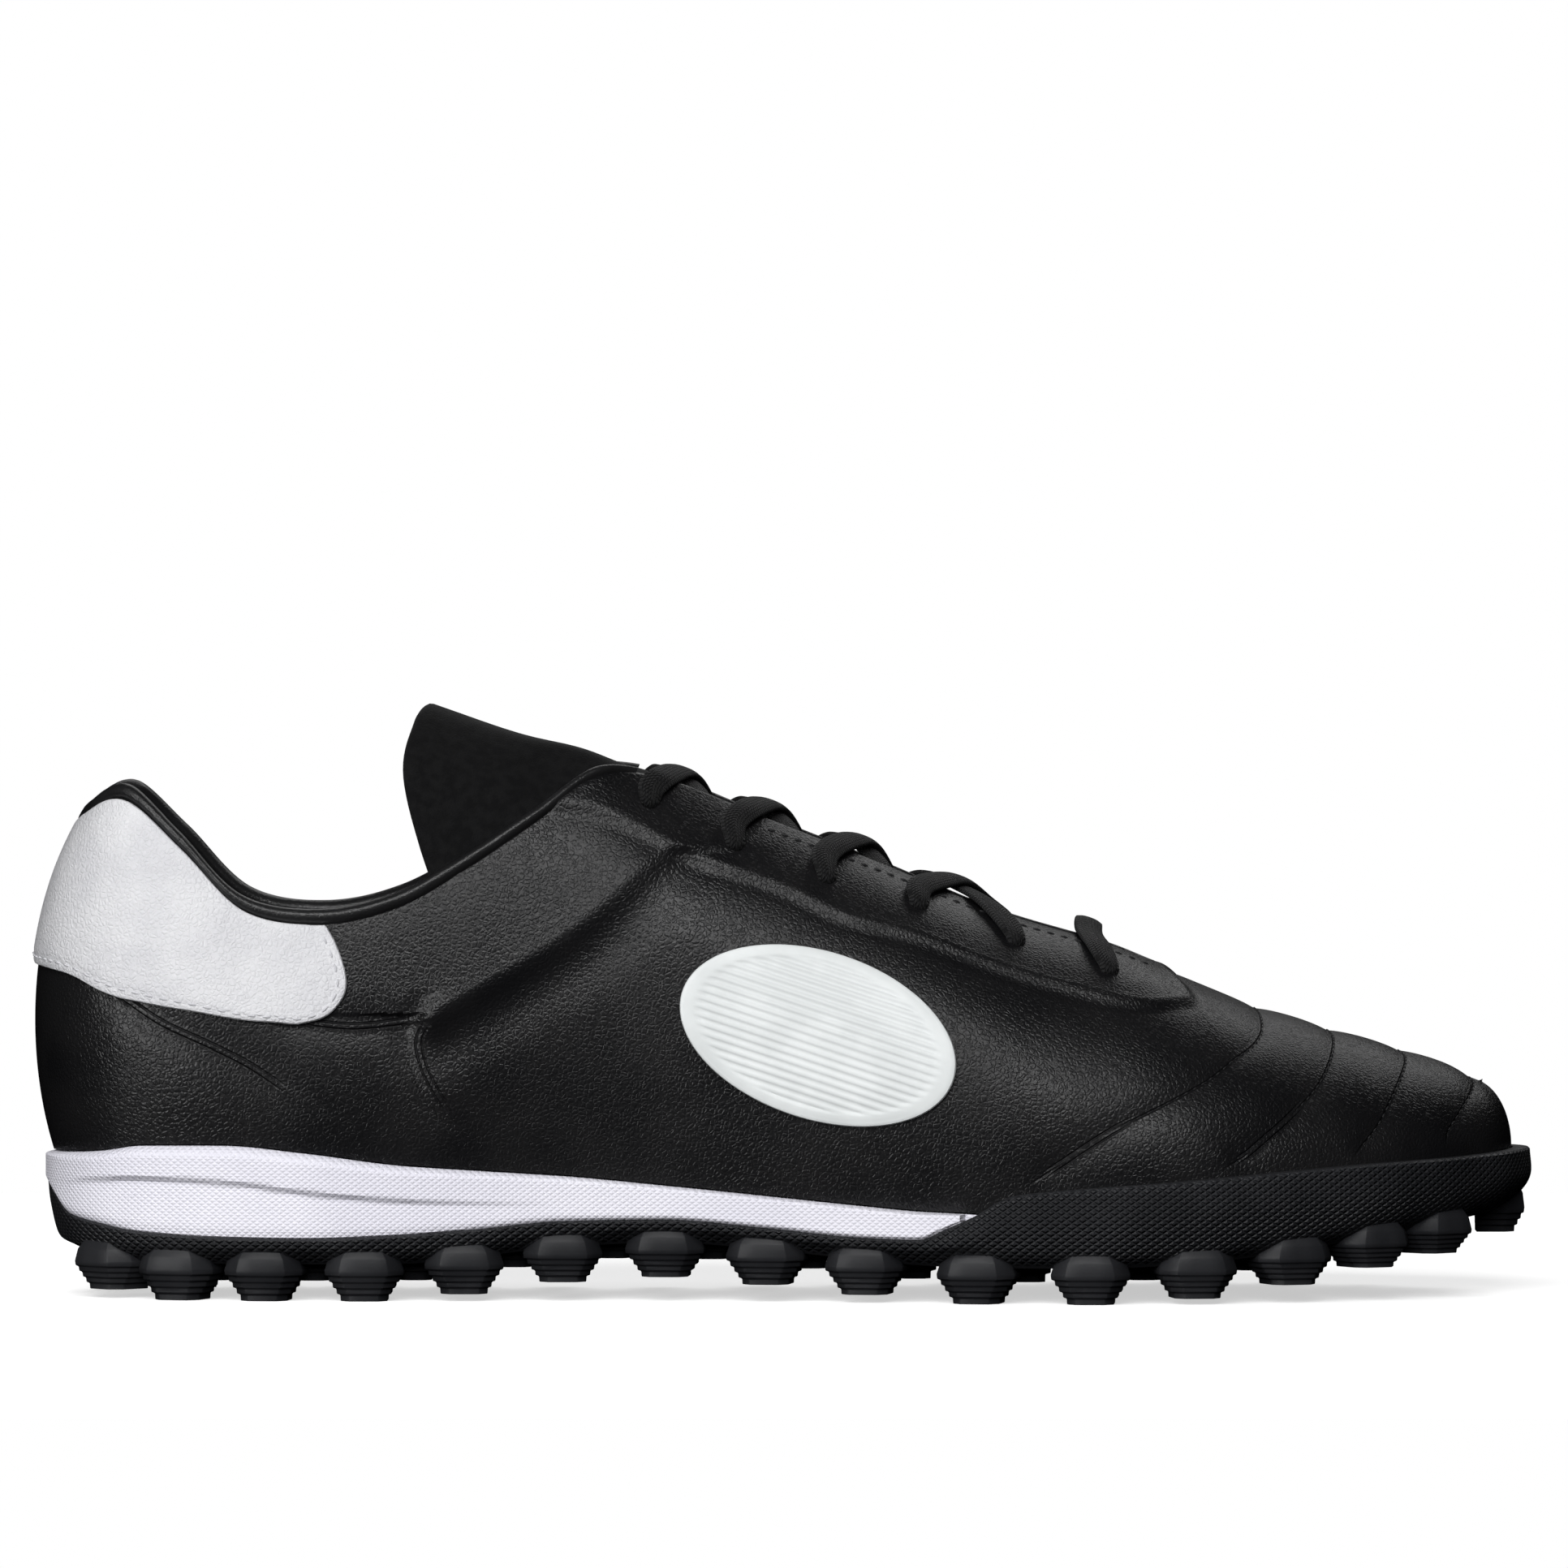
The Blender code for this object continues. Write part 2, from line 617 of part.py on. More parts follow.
def make_midsole():
    def side_height(s):
        x = station_x(s)
        bed = sole("bed", x)
        ledge = min(sole("rim", x) + GAP, bed - 0.0010)
        return ledge, bed

    def ring(level):
        def make(side, s):
            x = station_x(s)
            ledge, bed = side_height(s)
            shows = s <= TIP_STATION
            inner = mix(CUP_LIP_INSET + 2 * GAP, UPPER_INSET_TOE, cup(s))
            if level == 0:
                return inset_point(side, s, inner, sole("floor", x) + GAP)
            groove = mix(ledge, bed, sole("groove", x))
            step = MIDSOLE_STEP * (1 - ease(x, GROOVE_END * LENGTH * 0.6, GROOVE_END * LENGTH))
            heights = (ledge, mix(ledge, groove, 0.12), mix(ledge, groove, 0.88),
                       mix(groove, bed, 0.14), bed)
            insets = (inner, 0.0012, 0.0007 + step * 0.6, 0.0007 - step * 0.6, 0.0020)
            inset = insets[level - 1] if shows else inner
            return inset_point(side, s, inset, heights[level - 1])
        return around(make)

    return ring_loft("midsole", [ring(level) for level in range(6)], "foam_white")


def make_insole():
    inset = UPPER_WALL + INSOLE_CLEARANCE

    def ring(lift, extra):
        def make(side, s):
            height = sole("bed", station_x(s)) + INSOLE_SEAT + lift
            return inset_point(side, s, upper_inset(s) + inset + extra, height)
        return around(make)

    return ring_loft("insole", [ring(0.0, 0.0), ring(INSOLE_THICKNESS, 0.0004)], "insole_grey")


# Upper

def eyestay_line():
    """Returns v of the eyestay's outer edge as a function of station."""
    stations, values = edge_line(EYESTAY_EDGE, INSTEP_HEIGHT)

    def edge(s):
        if s >= stations[-1]:
            f = ease(s, stations[-1], EYESTAY_FRONT + 0.4)
            return mix(values[-1], 0.93, f)
        return float(np.interp(s, stations, values))

    return edge, stations[0]


def upper_columns(s, edge, back):
    """v values up one section and whether each lies on the raised eyestay."""
    line = edge(s)
    raised = back <= s <= EYESTAY_FRONT
    below = [line * f for f in (0.0, 0.21, 0.46, 0.74)]
    columns = [(v, False) for v in below]
    columns += [(line - 0.008, False), (line + 0.008, raised), (mix(line, 1.0, 0.55), raised),
                (1.0, raised)]
    return columns


def make_upper():
    edge, back = eyestay_line()
    points, index = [], {}
    tall = len(upper_columns(0.0, edge, back))

    def vertex(layer, side, i, j):
        s = STATIONS[i]
        shared = i in (0, len(STATIONS) - 1) or (j == tall - 1 and s >= THROAT_FRONT)
        key = (layer, 0 if shared else side, i, j)
        if key not in index:
            v, raised = upper_columns(s, edge, back)[j]
            lift = EYESTAY_STEP if raised and layer == "outer" else 0.0
            if layer == "inner":
                lift = -UPPER_WALL
            point = crest_skin(s, v, lift) if shared else skin(side, s, v, lift)
            if j == 0:
                point[2] = upper_at(side, s, 0.0)[2]
            index[key] = len(points)
            points.append(point)
        return index[key]

    faces = []
    last = len(STATIONS) - 1
    for layer in ("outer", "inner"):
        for side in (LATERAL, MEDIAL):
            for i in range(last):
                for j in range(tall - 1):
                    face = [vertex(layer, side, i, j), vertex(layer, side, i + 1, j),
                            vertex(layer, side, i + 1, j + 1), vertex(layer, side, i, j + 1)]
                    if (layer == "outer") == (side == MEDIAL):
                        face.reverse()
                    faces.append(tuple(dict.fromkeys(face)))
    for side in (LATERAL, MEDIAL):
        for i in range(last):
            rims = [0]
            if STATIONS[i + 1] <= THROAT_FRONT:
                rims.append(tall - 1)
            for j in rims:
                face = [vertex("outer", side, i, j), vertex("outer", side, i + 1, j),
                        vertex("inner", side, i + 1, j), vertex("inner", side, i, j)]
                faces.append(tuple(dict.fromkeys(face)))
    upper = add_object("upper", points, faces, "leather_black", 40.0)
    boolean(upper, make_eyelet_cutter(), "DIFFERENCE")
    upper.data.shade_smooth()
    upper.data.set_sharp_from_angle(angle=math.radians(40.0))
    return upper


def make_eyelet_cutter():
    """Pins that punch the eyelets through the wall on both sides."""
    points, faces = [], []
    sides = 8
    for x, z in EYELETS:
        s, v = locate(LATERAL, x * LENGTH, z * INSTEP_HEIGHT)
        for side in (LATERAL, MEDIAL):
            normal = upper_normal(side, s, v)
            centre = upper_at(side, s, v)
            across = np.cross(normal, (1.0, 0.0, 0.0))
            across /= np.linalg.norm(across)
            along = np.cross(normal, across)
            start = len(points)
            for depth in (-2.2 * UPPER_WALL, 1.6 * UPPER_WALL):
                for k in range(sides):
                    angle = 2 * math.pi * k / sides
                    spoke = across * math.cos(angle) + along * math.sin(angle)
                    points.append(centre + normal * depth + spoke * EYELET_DIAMETER / 2)
            for k in range(sides):
                j = (k + 1) % sides
                faces.append((start + k, start + j, start + sides + j, start + sides + k))
            faces.append(tuple(start + k for k in reversed(range(sides))))
            faces.append(tuple(start + sides + k for k in range(sides)))
    return add_object("eyelet_pins", points, faces, "leather_black")


def make_heel_tab():
    """Overlay round the heel, from its lower edge up to the collar."""
    stations, values = edge_line(HEEL_TAB_EDGE, HEEL_HEIGHT)
    front = stations[-1]
    steps = [s for s in STATIONS if s < front - 0.1] + [front]
    run = [(LATERAL, s) for s in reversed(steps)] + [(MEDIAL, s) for s in steps[1:]]
    outer, inner = [], []
    for side, s in run:
        low = float(np.interp(s, stations, values))
        rows = [mix(low, 0.985, k / 8) for k in range(9)]
        inner.append([skin(side, max(s, 0.01), v, GAP) for v in rows])
        outer.append([skin(side, max(s, 0.01), v, GAP + HEEL_TAB_THICKNESS) for v in rows])
    return sheet_solid("heel_tab", outer, inner, "leather_white")


def make_mark(name, side):
    """Plain oval pad on the side of the upper."""
    spokes, circles = 20, (0.4, 0.75, 1.0)
    layers = {}
    for layer, lift in (("inner", GAP), ("outer", GAP + MARK_THICKNESS)):
        rings = []
        for radius in (0.0,) + circles:
            ring = []
            for k in range(spokes if radius else 1):
                angle = 2 * math.pi * k / spokes
                a = radius * MARK_HALF_LENGTH * math.cos(angle)
                b = radius * MARK_HALF_HEIGHT * math.sin(angle)
                x = MARK_CENTRE[0] * LENGTH + a * math.cos(MARK_TILT) - b * math.sin(MARK_TILT)
                z = MARK_CENTRE[1] * INSTEP_HEIGHT + a * math.sin(MARK_TILT) + b * math.cos(MARK_TILT)
                s, v = locate(side, x, z)
                ring.append(skin(side, s, v, lift))
            rings.append(ring)
        layers[layer] = rings
    points, faces, starts = [], [], {}
    for layer, rings in layers.items():
        starts[layer] = len(points)
        points += [p for ring in rings for p in ring]
        start = starts[layer]
        for k in range(spokes):
            j = (k + 1) % spokes
            faces.append((start, start + 1 + k, start + 1 + j))
            for level in range(len(circles) - 1):
                a = start + 1 + level * spokes
                b = a + spokes
                faces.append((a + k, b + k, b + j, a + j))
    rim = 1 + (len(circles) - 1) * spokes
    for k in range(spokes):
        j = (k + 1) % spokes
        a, b = starts["inner"] + rim, starts["outer"] + rim
        faces.append((a + k, a + j, b + j, b + k))
    return add_object(name, points, faces, "motif_white")


def make_piping():
    """Padded roll that sits on the edge of the collar."""
    steps = [k / 2 for k in range(2 * THROAT_BACK)] + [PIPING_END]
    run = [(LATERAL, s) for s in reversed(steps)] + [(MEDIAL, s) for s in steps[1:]]
    sides = 6
    rings = []
    for side, s in run:
        s_used = max(s, 0.001)
        normal = upper_normal(side, s_used, 1.0)
        up = upper_at(side, s_used, 1.0) - upper_at(side, s_used, 0.97)
        up /= np.linalg.norm(up)
        if s == 0:
            normal[1] = 0.0
            up[1] = 0.0
        centre = upper_at(side, s_used, 1.0) - normal * UPPER_WALL / 2
        centre = centre + up * (GAP * 2 + PIPING_HEIGHT / 2)
        ring = []
        for k in range(sides):
            angle = 2 * math.pi * (k + 0.5) / sides
            ring.append(centre + normal * math.cos(angle) * PIPING_WIDTH / 2
                        + up * math.sin(angle) * PIPING_HEIGHT / 2)
        rings.append(ring)
    points = [p for ring in rings for p in ring]
    faces = []
    for i in range(len(rings) - 1):
        for k in range(sides):
            j = (k + 1) % sides
            a, b = i * sides, (i + 1) * sides
            faces.append((a + k, a + j, b + j, b + k))
    faces.append(tuple(range(sides)))
    faces.append(tuple((len(rings) - 1) * sides + k for k in range(sides)))
    return add_object("collar_piping", points, faces, "piping_black", 50.0)


# Tongue

def tongue_row(s):
    """Seven points across the tongue where it lies under the throat."""
    depth = -(UPPER_WALL + TONGUE_CLEARANCE + TONGUE_SINK * ease(s, THROAT_FRONT - 1, THROAT_FRONT))
    half = []
    for side in (LATERAL, MEDIAL):
        points = [skin(side, s, v, depth) for v in (1 - TONGUE_DEPTH, 1 - TONGUE_DEPTH / 2, 1.0)]
        half.append(points)
    lateral, medial = half
    crest = (lateral[2] + medial[2]) / 2
    if s < THROAT_FRONT:
        crest = crest + np.array([0.0, 0.0, TONGUE_CREST + UPPER_WALL * min(1, throat_half(s) / 0.006)])
    if s >= THROAT_FRONT - 0.6:
        crest = (lateral[2] + medial[2]) / 2
        lateral[2] = mix(lateral[1], crest, 0.66)
        medial[2] = mix(medial[1], crest, 0.66)
        for point in (lateral[2], medial[2]):
            point[2] -= 0.0010
    return lateral + [crest] + medial[::-1]


def tongue_rows():
    under = [tongue_row(s) for s in (TONGUE_FRONT, 15.4, 14.8, 14.3, 13.5, 12.5, 11.5, 10.7, 10)]
    free = []
    for values in TONGUE_ROWS:
        row = dict(zip(TONGUE_COLUMNS, values))
        crest = np.array([row["crest_x"] * LENGTH, 0.0, row["crest_z"] * INSTEP_HEIGHT])
        points = []
        for side in (LATERAL, MEDIAL):
            side_point = np.array([row["side_x"] * LENGTH, side * row["side_y"] * HEEL_WIDTH,
                                   row["side_z"] * INSTEP_HEIGHT])
            edge_point = np.array([row["edge_x"] * LENGTH, side * row["edge_y"] * HEEL_WIDTH,
                                   row["edge_z"] * INSTEP_HEIGHT])
            shoulder = mix(side_point, crest, 0.5)
            shoulder[2] += TONGUE_ROUND
            points.append([edge_point, side_point, shoulder])
        free.append(points[0] + [crest] + points[1][::-1])
    return under + free


def make_tongue():
    rows = tongue_rows()
    fine = []
    for row in rows:
        fine.append([smooth(row, k / 2) for k in range(2 * len(row) - 1)])
    outer, inner = [], []
    for i, row in enumerate(fine):
        outer.append(row)
        under = []
        for j, point in enumerate(row):
            along = fine[min(i + 1, len(fine) - 1)][j] - fine[max(i - 1, 0)][j]
            across = row[min(j + 1, len(row) - 1)] - row[max(j - 1, 0)]
            normal = np.cross(along, across)
            under.append(point + normal / np.linalg.norm(normal) * TONGUE_THICKNESS)
        inner.append(under)
    return sheet_solid("tongue", outer, inner, "fabric_black")


# Laces

def strap(route, widths):
    """Grids above and below a flat strap along a route of points with across directions."""
    count = len(route)
    outer, inner = [], []
    for i, point in enumerate(route):
        along = route[min(i + 1, count - 1)] - route[max(i - 1, 0)]
        along = along / np.linalg.norm(along)
        across = widths / np.linalg.norm(widths)
        across = across - along * np.dot(across, along)
        across /= np.linalg.norm(across)
        up = np.cross(across, along)
        if up[2] < 0:
            up = -up
        edges = [point - across * LACE_WIDTH / 2, point + across * LACE_WIDTH / 2]
        outer.append([edge + up * LACE_THICKNESS / 2 for edge in edges])
        inner.append([edge - up * LACE_THICKNESS / 2 for edge in edges])
    return outer, inner


def lace_route(side, start, end, whole):
    """Middle line of a strap from an eyelet over the tongue.

    A whole strap runs to the eyelet across; the others stop where they tuck under the far edge.
    """
    s0, v0 = start
    s1, v1 = end
    near = skin(side, s0, mix(v0, 1.0, 0.30), LACE_STAND)
    edge_near = skin(side, mix(s0, s1, 0.22), 0.995, LACE_STAND + LACE_ARCH / 2)
    edge_far = skin(-side, mix(s0, s1, 0.78), 0.995, LACE_STAND + LACE_ARCH / 2)
    middle = (edge_near + edge_far) / 2
    middle[2] += TONGUE_CREST + LACE_ARCH
    if whole:
        far = skin(-side, s1, mix(v1, 1.0, 0.30), LACE_STAND)
        line = [near, edge_near, middle, edge_far, far]
    else:
        tuck = mix(middle, edge_far, 0.55)
        line = [near, edge_near, middle, tuck]
    return [smooth(line, k * 0.5) for k in range(2 * len(line) - 1)]


def make_laces():
    holes = [locate(LATERAL, x * LENGTH, z * INSTEP_HEIGHT) for x, z in EYELETS]
    slope = np.array([1.0, 0.0, -0.40])
    for number in range(len(holes) - 2):
        name = "lace_crossing_" + str(number + 1)
        straps = []
        for side in (LATERAL, MEDIAL):
            route = lace_route(side, holes[number], holes[number + 1], False)
            outer, inner = strap(route, slope)
            straps.append(sheet_solid(name if side == LATERAL else "strap", outer, inner, "lace_black"))
        boolean(straps[0], straps[1], "UNION")
    route = lace_route(LATERAL, holes[-1], holes[-1], True)
    outer, inner = strap(route, slope)
    sheet_solid("lace_bar", outer, inner, "lace_black")


# Assembly

def stand_on_origin():
    """Move the shoe so that its box stands centred on the origin."""
    bpy.context.view_layer.update()
    corners = [made.matrix_world @ vertex.co for made in bpy.data.objects if made.type == "MESH"
               for vertex in made.data.vertices]
    low = [min(c[k] for c in corners) for k in range(3)]
    high = [max(c[k] for c in corners) for k in range(3)]
    shift = Vector((-(low[0] + high[0]) / 2, -(low[1] + high[1]) / 2, -low[2]))
    for made in bpy.data.objects:
        made.location = shift


def main():
    for old in list(bpy.data.objects):
        bpy.data.objects.remove(old, do_unlink=True)
    make_outsole()
    make_midsole()
    make_insole()
    make_upper()
    make_heel_tab()
    make_mark("side_mark_lateral", LATERAL)
    make_mark("side_mark_medial", MEDIAL)
    make_piping()
    make_tongue()
    make_laces()
    stand_on_origin()


main()
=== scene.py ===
"""Looks of the turf shoe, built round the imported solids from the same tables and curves.

Every length is in metres unless its name ends in _MM. s is a station from 0 at the heel to 20
at the toe, v runs up a section from 0 at the sole to 1 at the top line, and side is -1 for the
outer side and 1 for the inner side.
"""

import math

import bmesh
import bpy
import numpy as np
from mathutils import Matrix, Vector


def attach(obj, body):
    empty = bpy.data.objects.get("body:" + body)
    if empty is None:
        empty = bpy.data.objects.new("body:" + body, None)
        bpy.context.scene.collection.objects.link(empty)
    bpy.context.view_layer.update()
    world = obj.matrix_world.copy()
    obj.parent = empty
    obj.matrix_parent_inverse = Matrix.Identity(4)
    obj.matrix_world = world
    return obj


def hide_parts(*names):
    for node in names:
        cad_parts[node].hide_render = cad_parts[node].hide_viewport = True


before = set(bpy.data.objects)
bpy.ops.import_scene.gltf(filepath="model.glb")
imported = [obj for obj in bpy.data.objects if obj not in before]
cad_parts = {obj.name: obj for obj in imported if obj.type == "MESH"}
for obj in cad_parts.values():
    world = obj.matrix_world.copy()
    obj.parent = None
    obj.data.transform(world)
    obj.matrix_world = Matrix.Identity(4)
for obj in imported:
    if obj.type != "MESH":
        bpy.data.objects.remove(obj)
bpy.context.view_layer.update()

# Driving sizes, the same as in the solids
LENGTH = 0.296
BALL_WIDTH = 0.104
HEEL_WIDTH = 0.074
SOLE_HEIGHT = 0.030
HEEL_HEIGHT = 0.098
INSTEP_HEIGHT = 0.103
SHIFT = np.array([-0.14746462, -0.0009425, 0.0])

GAP = 0.0003
UPPER_WALL = 0.0020
UPPER_INSET_HEEL = 0.0024
UPPER_INSET_TOE = 0.0046
EYESTAY_STEP = 0.0008
EYELET_DIAMETER = 0.0036
CUP_LIP_INSET = 0.0044
MIDSOLE_STEP = 0.0010
INSOLE_THICKNESS = 0.0028
INSOLE_CLEARANCE = 0.0009
INSOLE_SEAT = 0.0006
TONGUE_THICKNESS = 0.0024
TONGUE_CLEARANCE = 0.0010
TONGUE_SINK = 0.0014
PIPING_WIDTH = 0.0046
PIPING_HEIGHT = 0.0030
HEEL_TAB_THICKNESS = 0.0010
MARK_THICKNESS = 0.0008
LACE_WIDTH = 0.0060
LACE_THICKNESS = 0.0014
LACE_LIE = EYESTAY_STEP + GAP + LACE_THICKNESS / 2 + 0.0002
STUD_LENGTH = 0.0150
STUD_DEPTH = 0.0110
STUD_INSET = 0.0070
INNER_STUD_LENGTH = 0.0090
INNER_STUD_RECESS = 0.0028
LOW_STUD_LENGTH = 0.0110
LOW_STUD_RECESS = 0.0035

LATERAL = -1
MEDIAL = 1

# Stations: foot_x, lateral, medial, top_x, mid, half, top_z, out_low, rise, out_high, drop
HEEL_STATIONS = (
    (0.003, 0.000, 0.000, 0.029, 0.00, 0.000, 0.940, 0.090, 0.34, 0.125, 0.25),
    (0.016, 0.200, 0.200, 0.037, 0.00, 0.160, 0.970, 0.080, 0.34, 0.115, 0.25),
    (0.050, 0.360, 0.355, 0.062, 0.00, 0.280, 1.000, 0.062, 0.34, 0.090, 0.26),
    (0.105, 0.455, 0.445, 0.098, 0.00, 0.355, 0.905, 0.050, 0.34, 0.065, 0.28),
    (0.170, 0.500, 0.480, 0.140, 0.00, 0.400, 0.780, 0.045, 0.34, 0.050, 0.30),
    (0.235, 0.510, 0.470, 0.192, 0.00, 0.420, 0.752, 0.040, 0.34, 0.050, 0.30),
    (0.300, 0.505, 0.450, 0.243, 0.00, 0.425, 0.785, 0.035, 0.34, 0.060, 0.30),
    (0.365, 0.500, 0.435, 0.290, 0.00, 0.405, 0.865, 0.030, 0.34, 0.085, 0.28),
)
FORE_STATIONS = (
    (0.430, 0.365, 0.315, 0.335, 0.000, 0.255, 0.910, 0.025, 0.34, 0.080, 0.27),
    (0.490, 0.390, 0.345, 0.375, 0.000, 0.195, 0.990, 0.030, 0.34, 0.130, 0.21),
    (0.550, 0.420, 0.390, 0.418, 0.005, 0.140, 0.985, 0.040, 0.35, 0.175, 0.15),
    (0.610, 0.455, 0.440, 0.490, 0.012, 0.115, 0.905, 0.050, 0.36, 0.210, 0.11),
    (0.665, 0.480, 0.480, 0.565, 0.018, 0.100, 0.820, 0.055, 0.37, 0.235, 0.085),
    (0.720, 0.490, 0.505, 0.640, 0.022, 0.087, 0.730, 0.055, 0.38, 0.250, 0.065),
    (0.775, 0.480, 0.505, 0.710, 0.024, 0.074, 0.670, 0.050, 0.39, 0.275, 0.040),
    (0.830, 0.440, 0.480, 0.745, 0.026, 0.000, 0.632, 0.045, 0.40, 0.290, 0.00),
    (0.880, 0.380, 0.440, 0.800, 0.028, 0.000, 0.570, 0.042, 0.42, 0.285, 0.00),
    (0.920, 0.312, 0.390, 0.855, 0.032, 0.000, 0.520, 0.038, 0.44, 0.255, 0.00),
    (0.955, 0.226, 0.318, 0.905, 0.038, 0.000, 0.478, 0.034, 0.46, 0.200, 0.00),
    (0.985, 0.112, 0.224, 0.943, 0.045, 0.000, 0.442, 0.030, 0.46, 0.125, 0.00),
    (1.000, -0.055, 0.055, 0.967, 0.052, 0.000, 0.408, 0.020, 0.42, 0.045, 0.00),
)
LAST = len(HEEL_STATIONS) + len(FORE_STATIONS) - 1
THROAT_BACK = 10
THROAT_FRONT = 15
PIPING_END = 9.65

# Side profile of the sole: x, tip, base, rim, floor, bed, groove
SOLE_COLUMNS = ("x", "tip", "base", "rim", "floor", "bed", "groove")
SOLE_PROFILE = (
    (0.003, 0.100, 0.333, 0.755, 0.467, 0.945, 0.20),
    (0.020, 0.073, 0.300, 0.550, 0.440, 0.955, 0.50),
    (0.040, 0.053, 0.277, 0.500, 0.420, 0.970, 0.60),
    (0.070, 0.000, 0.250, 0.447, 0.393, 1.010, 0.62),
    (0.125, 0.000, 0.240, 0.417, 0.372, 1.017, 0.60),
    (0.180, 0.000, 0.240, 0.410, 0.365, 0.970, 0.54),
    (0.245, 0.000, 0.243, 0.435, 0.387, 0.890, 0.49),
    (0.290, 0.050, 0.283, 0.470, 0.420, 0.860, 0.44),
    (0.355, 0.127, 0.353, 0.530, 0.477, 0.820, 0.36),
    (0.420, 0.160, 0.383, 0.540, 0.490, 0.760, 0.36),
    (0.485, 0.113, 0.340, 0.490, 0.443, 0.697, 0.36),
    (0.550, 0.053, 0.277, 0.430, 0.385, 0.633, 0.36),
    (0.587, 0.020, 0.247, 0.420, 0.363, 0.600, 0.36),
    (0.605, 0.000, 0.238, 0.490, 0.357, 0.592, 0.36),
    (0.623, 0.000, 0.233, 0.570, 0.353, 0.583, 0.36),
    (0.650, 0.000, 0.233, 0.710, 0.350, 0.560, 0.36),
    (0.700, 0.000, 0.233, 0.760, 0.343, 0.527, 0.36),
    (0.750, 0.020, 0.250, 0.795, 0.360, 0.517, 0.36),
    (0.800, 0.063, 0.287, 0.835, 0.397, 0.533, 0.36),
    (0.850, 0.130, 0.347, 0.875, 0.453, 0.573, 0.36),
    (0.900, 0.220, 0.420, 0.908, 0.520, 0.627, 0.36),
    (0.950, 0.300, 0.493, 0.930, 0.593, 0.693, 0.36),
    (1.000, 0.400, 0.560, 0.960, 0.660, 0.767, 0.36),
)
CUP_START = 0.587
MIDSOLE_TIP = 0.615
GROOVE_END = 0.360
OUTER_STUDS = (0.035, 0.090, 0.152, 0.221, 0.288, 0.353, 0.419, 0.484, 0.549, 0.623, 0.701,
               0.776, 0.844, 0.901, 0.949)
INNER_STUDS = (0.100, 0.160, 0.221, 0.288, 0.549, 0.623, 0.701, 0.776, 0.844, 0.901)
INNER_STUD_SPREAD = 0.105
EYELETS = ((0.409, 0.942), (0.466, 0.862), (0.527, 0.798), (0.588, 0.746), (0.653, 0.676),
           (0.715, 0.621))
MARK_CENTRE = (0.522, 0.508)
MARK_HALF_LENGTH = 0.0280
MARK_HALF_HEIGHT = 0.0160
MARK_TILT = math.radians(-18.0)
TONGUE_ROWS = (
    (0.375, 1.030, 0.360, 0.200, 0.965, 0.375, 0.290, 0.860),
    (0.325, 1.070, 0.310, 0.265, 0.980, 0.325, 0.335, 0.830),
    (0.265, 1.130, 0.252, 0.290, 1.000, 0.268, 0.350, 0.800),
)
TONGUE_FRONT = 15.9
TONGUE_DEPTH = 0.30
TONGUE_CREST = 0.0016
TONGUE_ROUND = 0.0040

GROOVE_SOFTNESS = 0.0006
FOAM_INSET = 0.0008
FOAM_STEP_SHARES = (0.7, -0.6)
FOAM_FOOT_ROUND = 0.0004
FOAM_TOP_ROUND = 0.0022
FOAM_SHOULDER = 0.86

# Insets and heights of the rubber wall, at the heel and at the cup of the forefoot
BOTTOM_INSET = 0.0062
CHAMFER_INSET = (0.0034, 0.0022)
CHAMFER_RISE = (0.0018, 0.0030)
BELLY_INSET = (0.0018, 0.0)
BELLY_HEIGHT = (0.62, 0.55)
RIM_INSET = (0.0013, 0.0002)
RIM_ROUND = 0.0004

# Studs
SHOULDER_STUDS = 0.0054
SHOULDER_TOE_STUD = 0.0062
TOE_STUD_INSET = 0.0062
STUD_ROOT = 0.0012
PLAIN_STUD_ROOT = 0.0010
STUD_BEVEL = 0.00016
LOW_STUD_PLACES = (0.24, 0.41, 0.59, 0.76)
FORWARD = np.array([1.0, 0.0])

# Overlays, threads, collar roll and insole
OVERLAY_SINK = 0.0002
TAB_TOP = 0.985
TAB_DITCH = 0.00018
MARK_RIB_PITCH = 0.0016
MARK_FIELD_DEPTH = 0.00012
MARK_RIB_DEPTH = 0.00024
THREAD_PROUD = 0.00005
QUILT_THREAD_PROUD = 0.00004
TAB_THREAD_SINK = 0.0001
PIPING_SINK = 0.0003
PIPING_SEED = 11
PIPING_WOBBLE = 0.0001
PIPING_FULLNESS = 0.00025
INSOLE_ROUND = 0.0009

# Stitches: length of a thread, gap to the next one and radius
THROAT_STITCH = (0.0018, 0.0010, 0.00024)
QUILT_STITCH = (0.0013, 0.0009, 0.00019)
TAB_STITCH = (0.0019, 0.0011, 0.00024)

# Lines seen from the side, x from the heel and z from the ground, in millimetres
SEAM_HEEL_MM = ((16.8, 60.2), (25.4, 54.7), (36.2, 49.8), (44.6, 45.4), (53.9, 39.0), (63.2, 31.0))
SEAM_ANKLE_MM = ((52.0, 55.4), (61.8, 54.1), (71.8, 54.9), (77.9, 55.8))
SEAM_DROP_MM = ((78.2, 55.4), (76.3, 51.2), (77.6, 45.4), (81.1, 39.0), (85.0, 34.1))
RIDGE_MM = ((78.6, 56.5), (85.3, 60.2), (93.3, 64.8), (105.3, 72.2), (114.9, 80.5), (123.2, 88.0))
EYESTAY_MM = ((107.2, 96.2), (123.2, 89.4), (127.0, 87.8), (134.9, 84.6), (147.0, 80.5),
              (159.7, 74.6), (173.8, 70.9), (187.8, 65.6), (201.9, 61.3), (212.5, 58.6),
              (219.5, 57.6), (225.3, 57.9), (228.2, 59.0))
TAB_LOW_MM = ((0.0, 66.2), (6.1, 64.8), (14.7, 61.0), (21.9, 59.2), (34.9, 57.0), (46.0, 55.5),
              (52.5, 55.0))
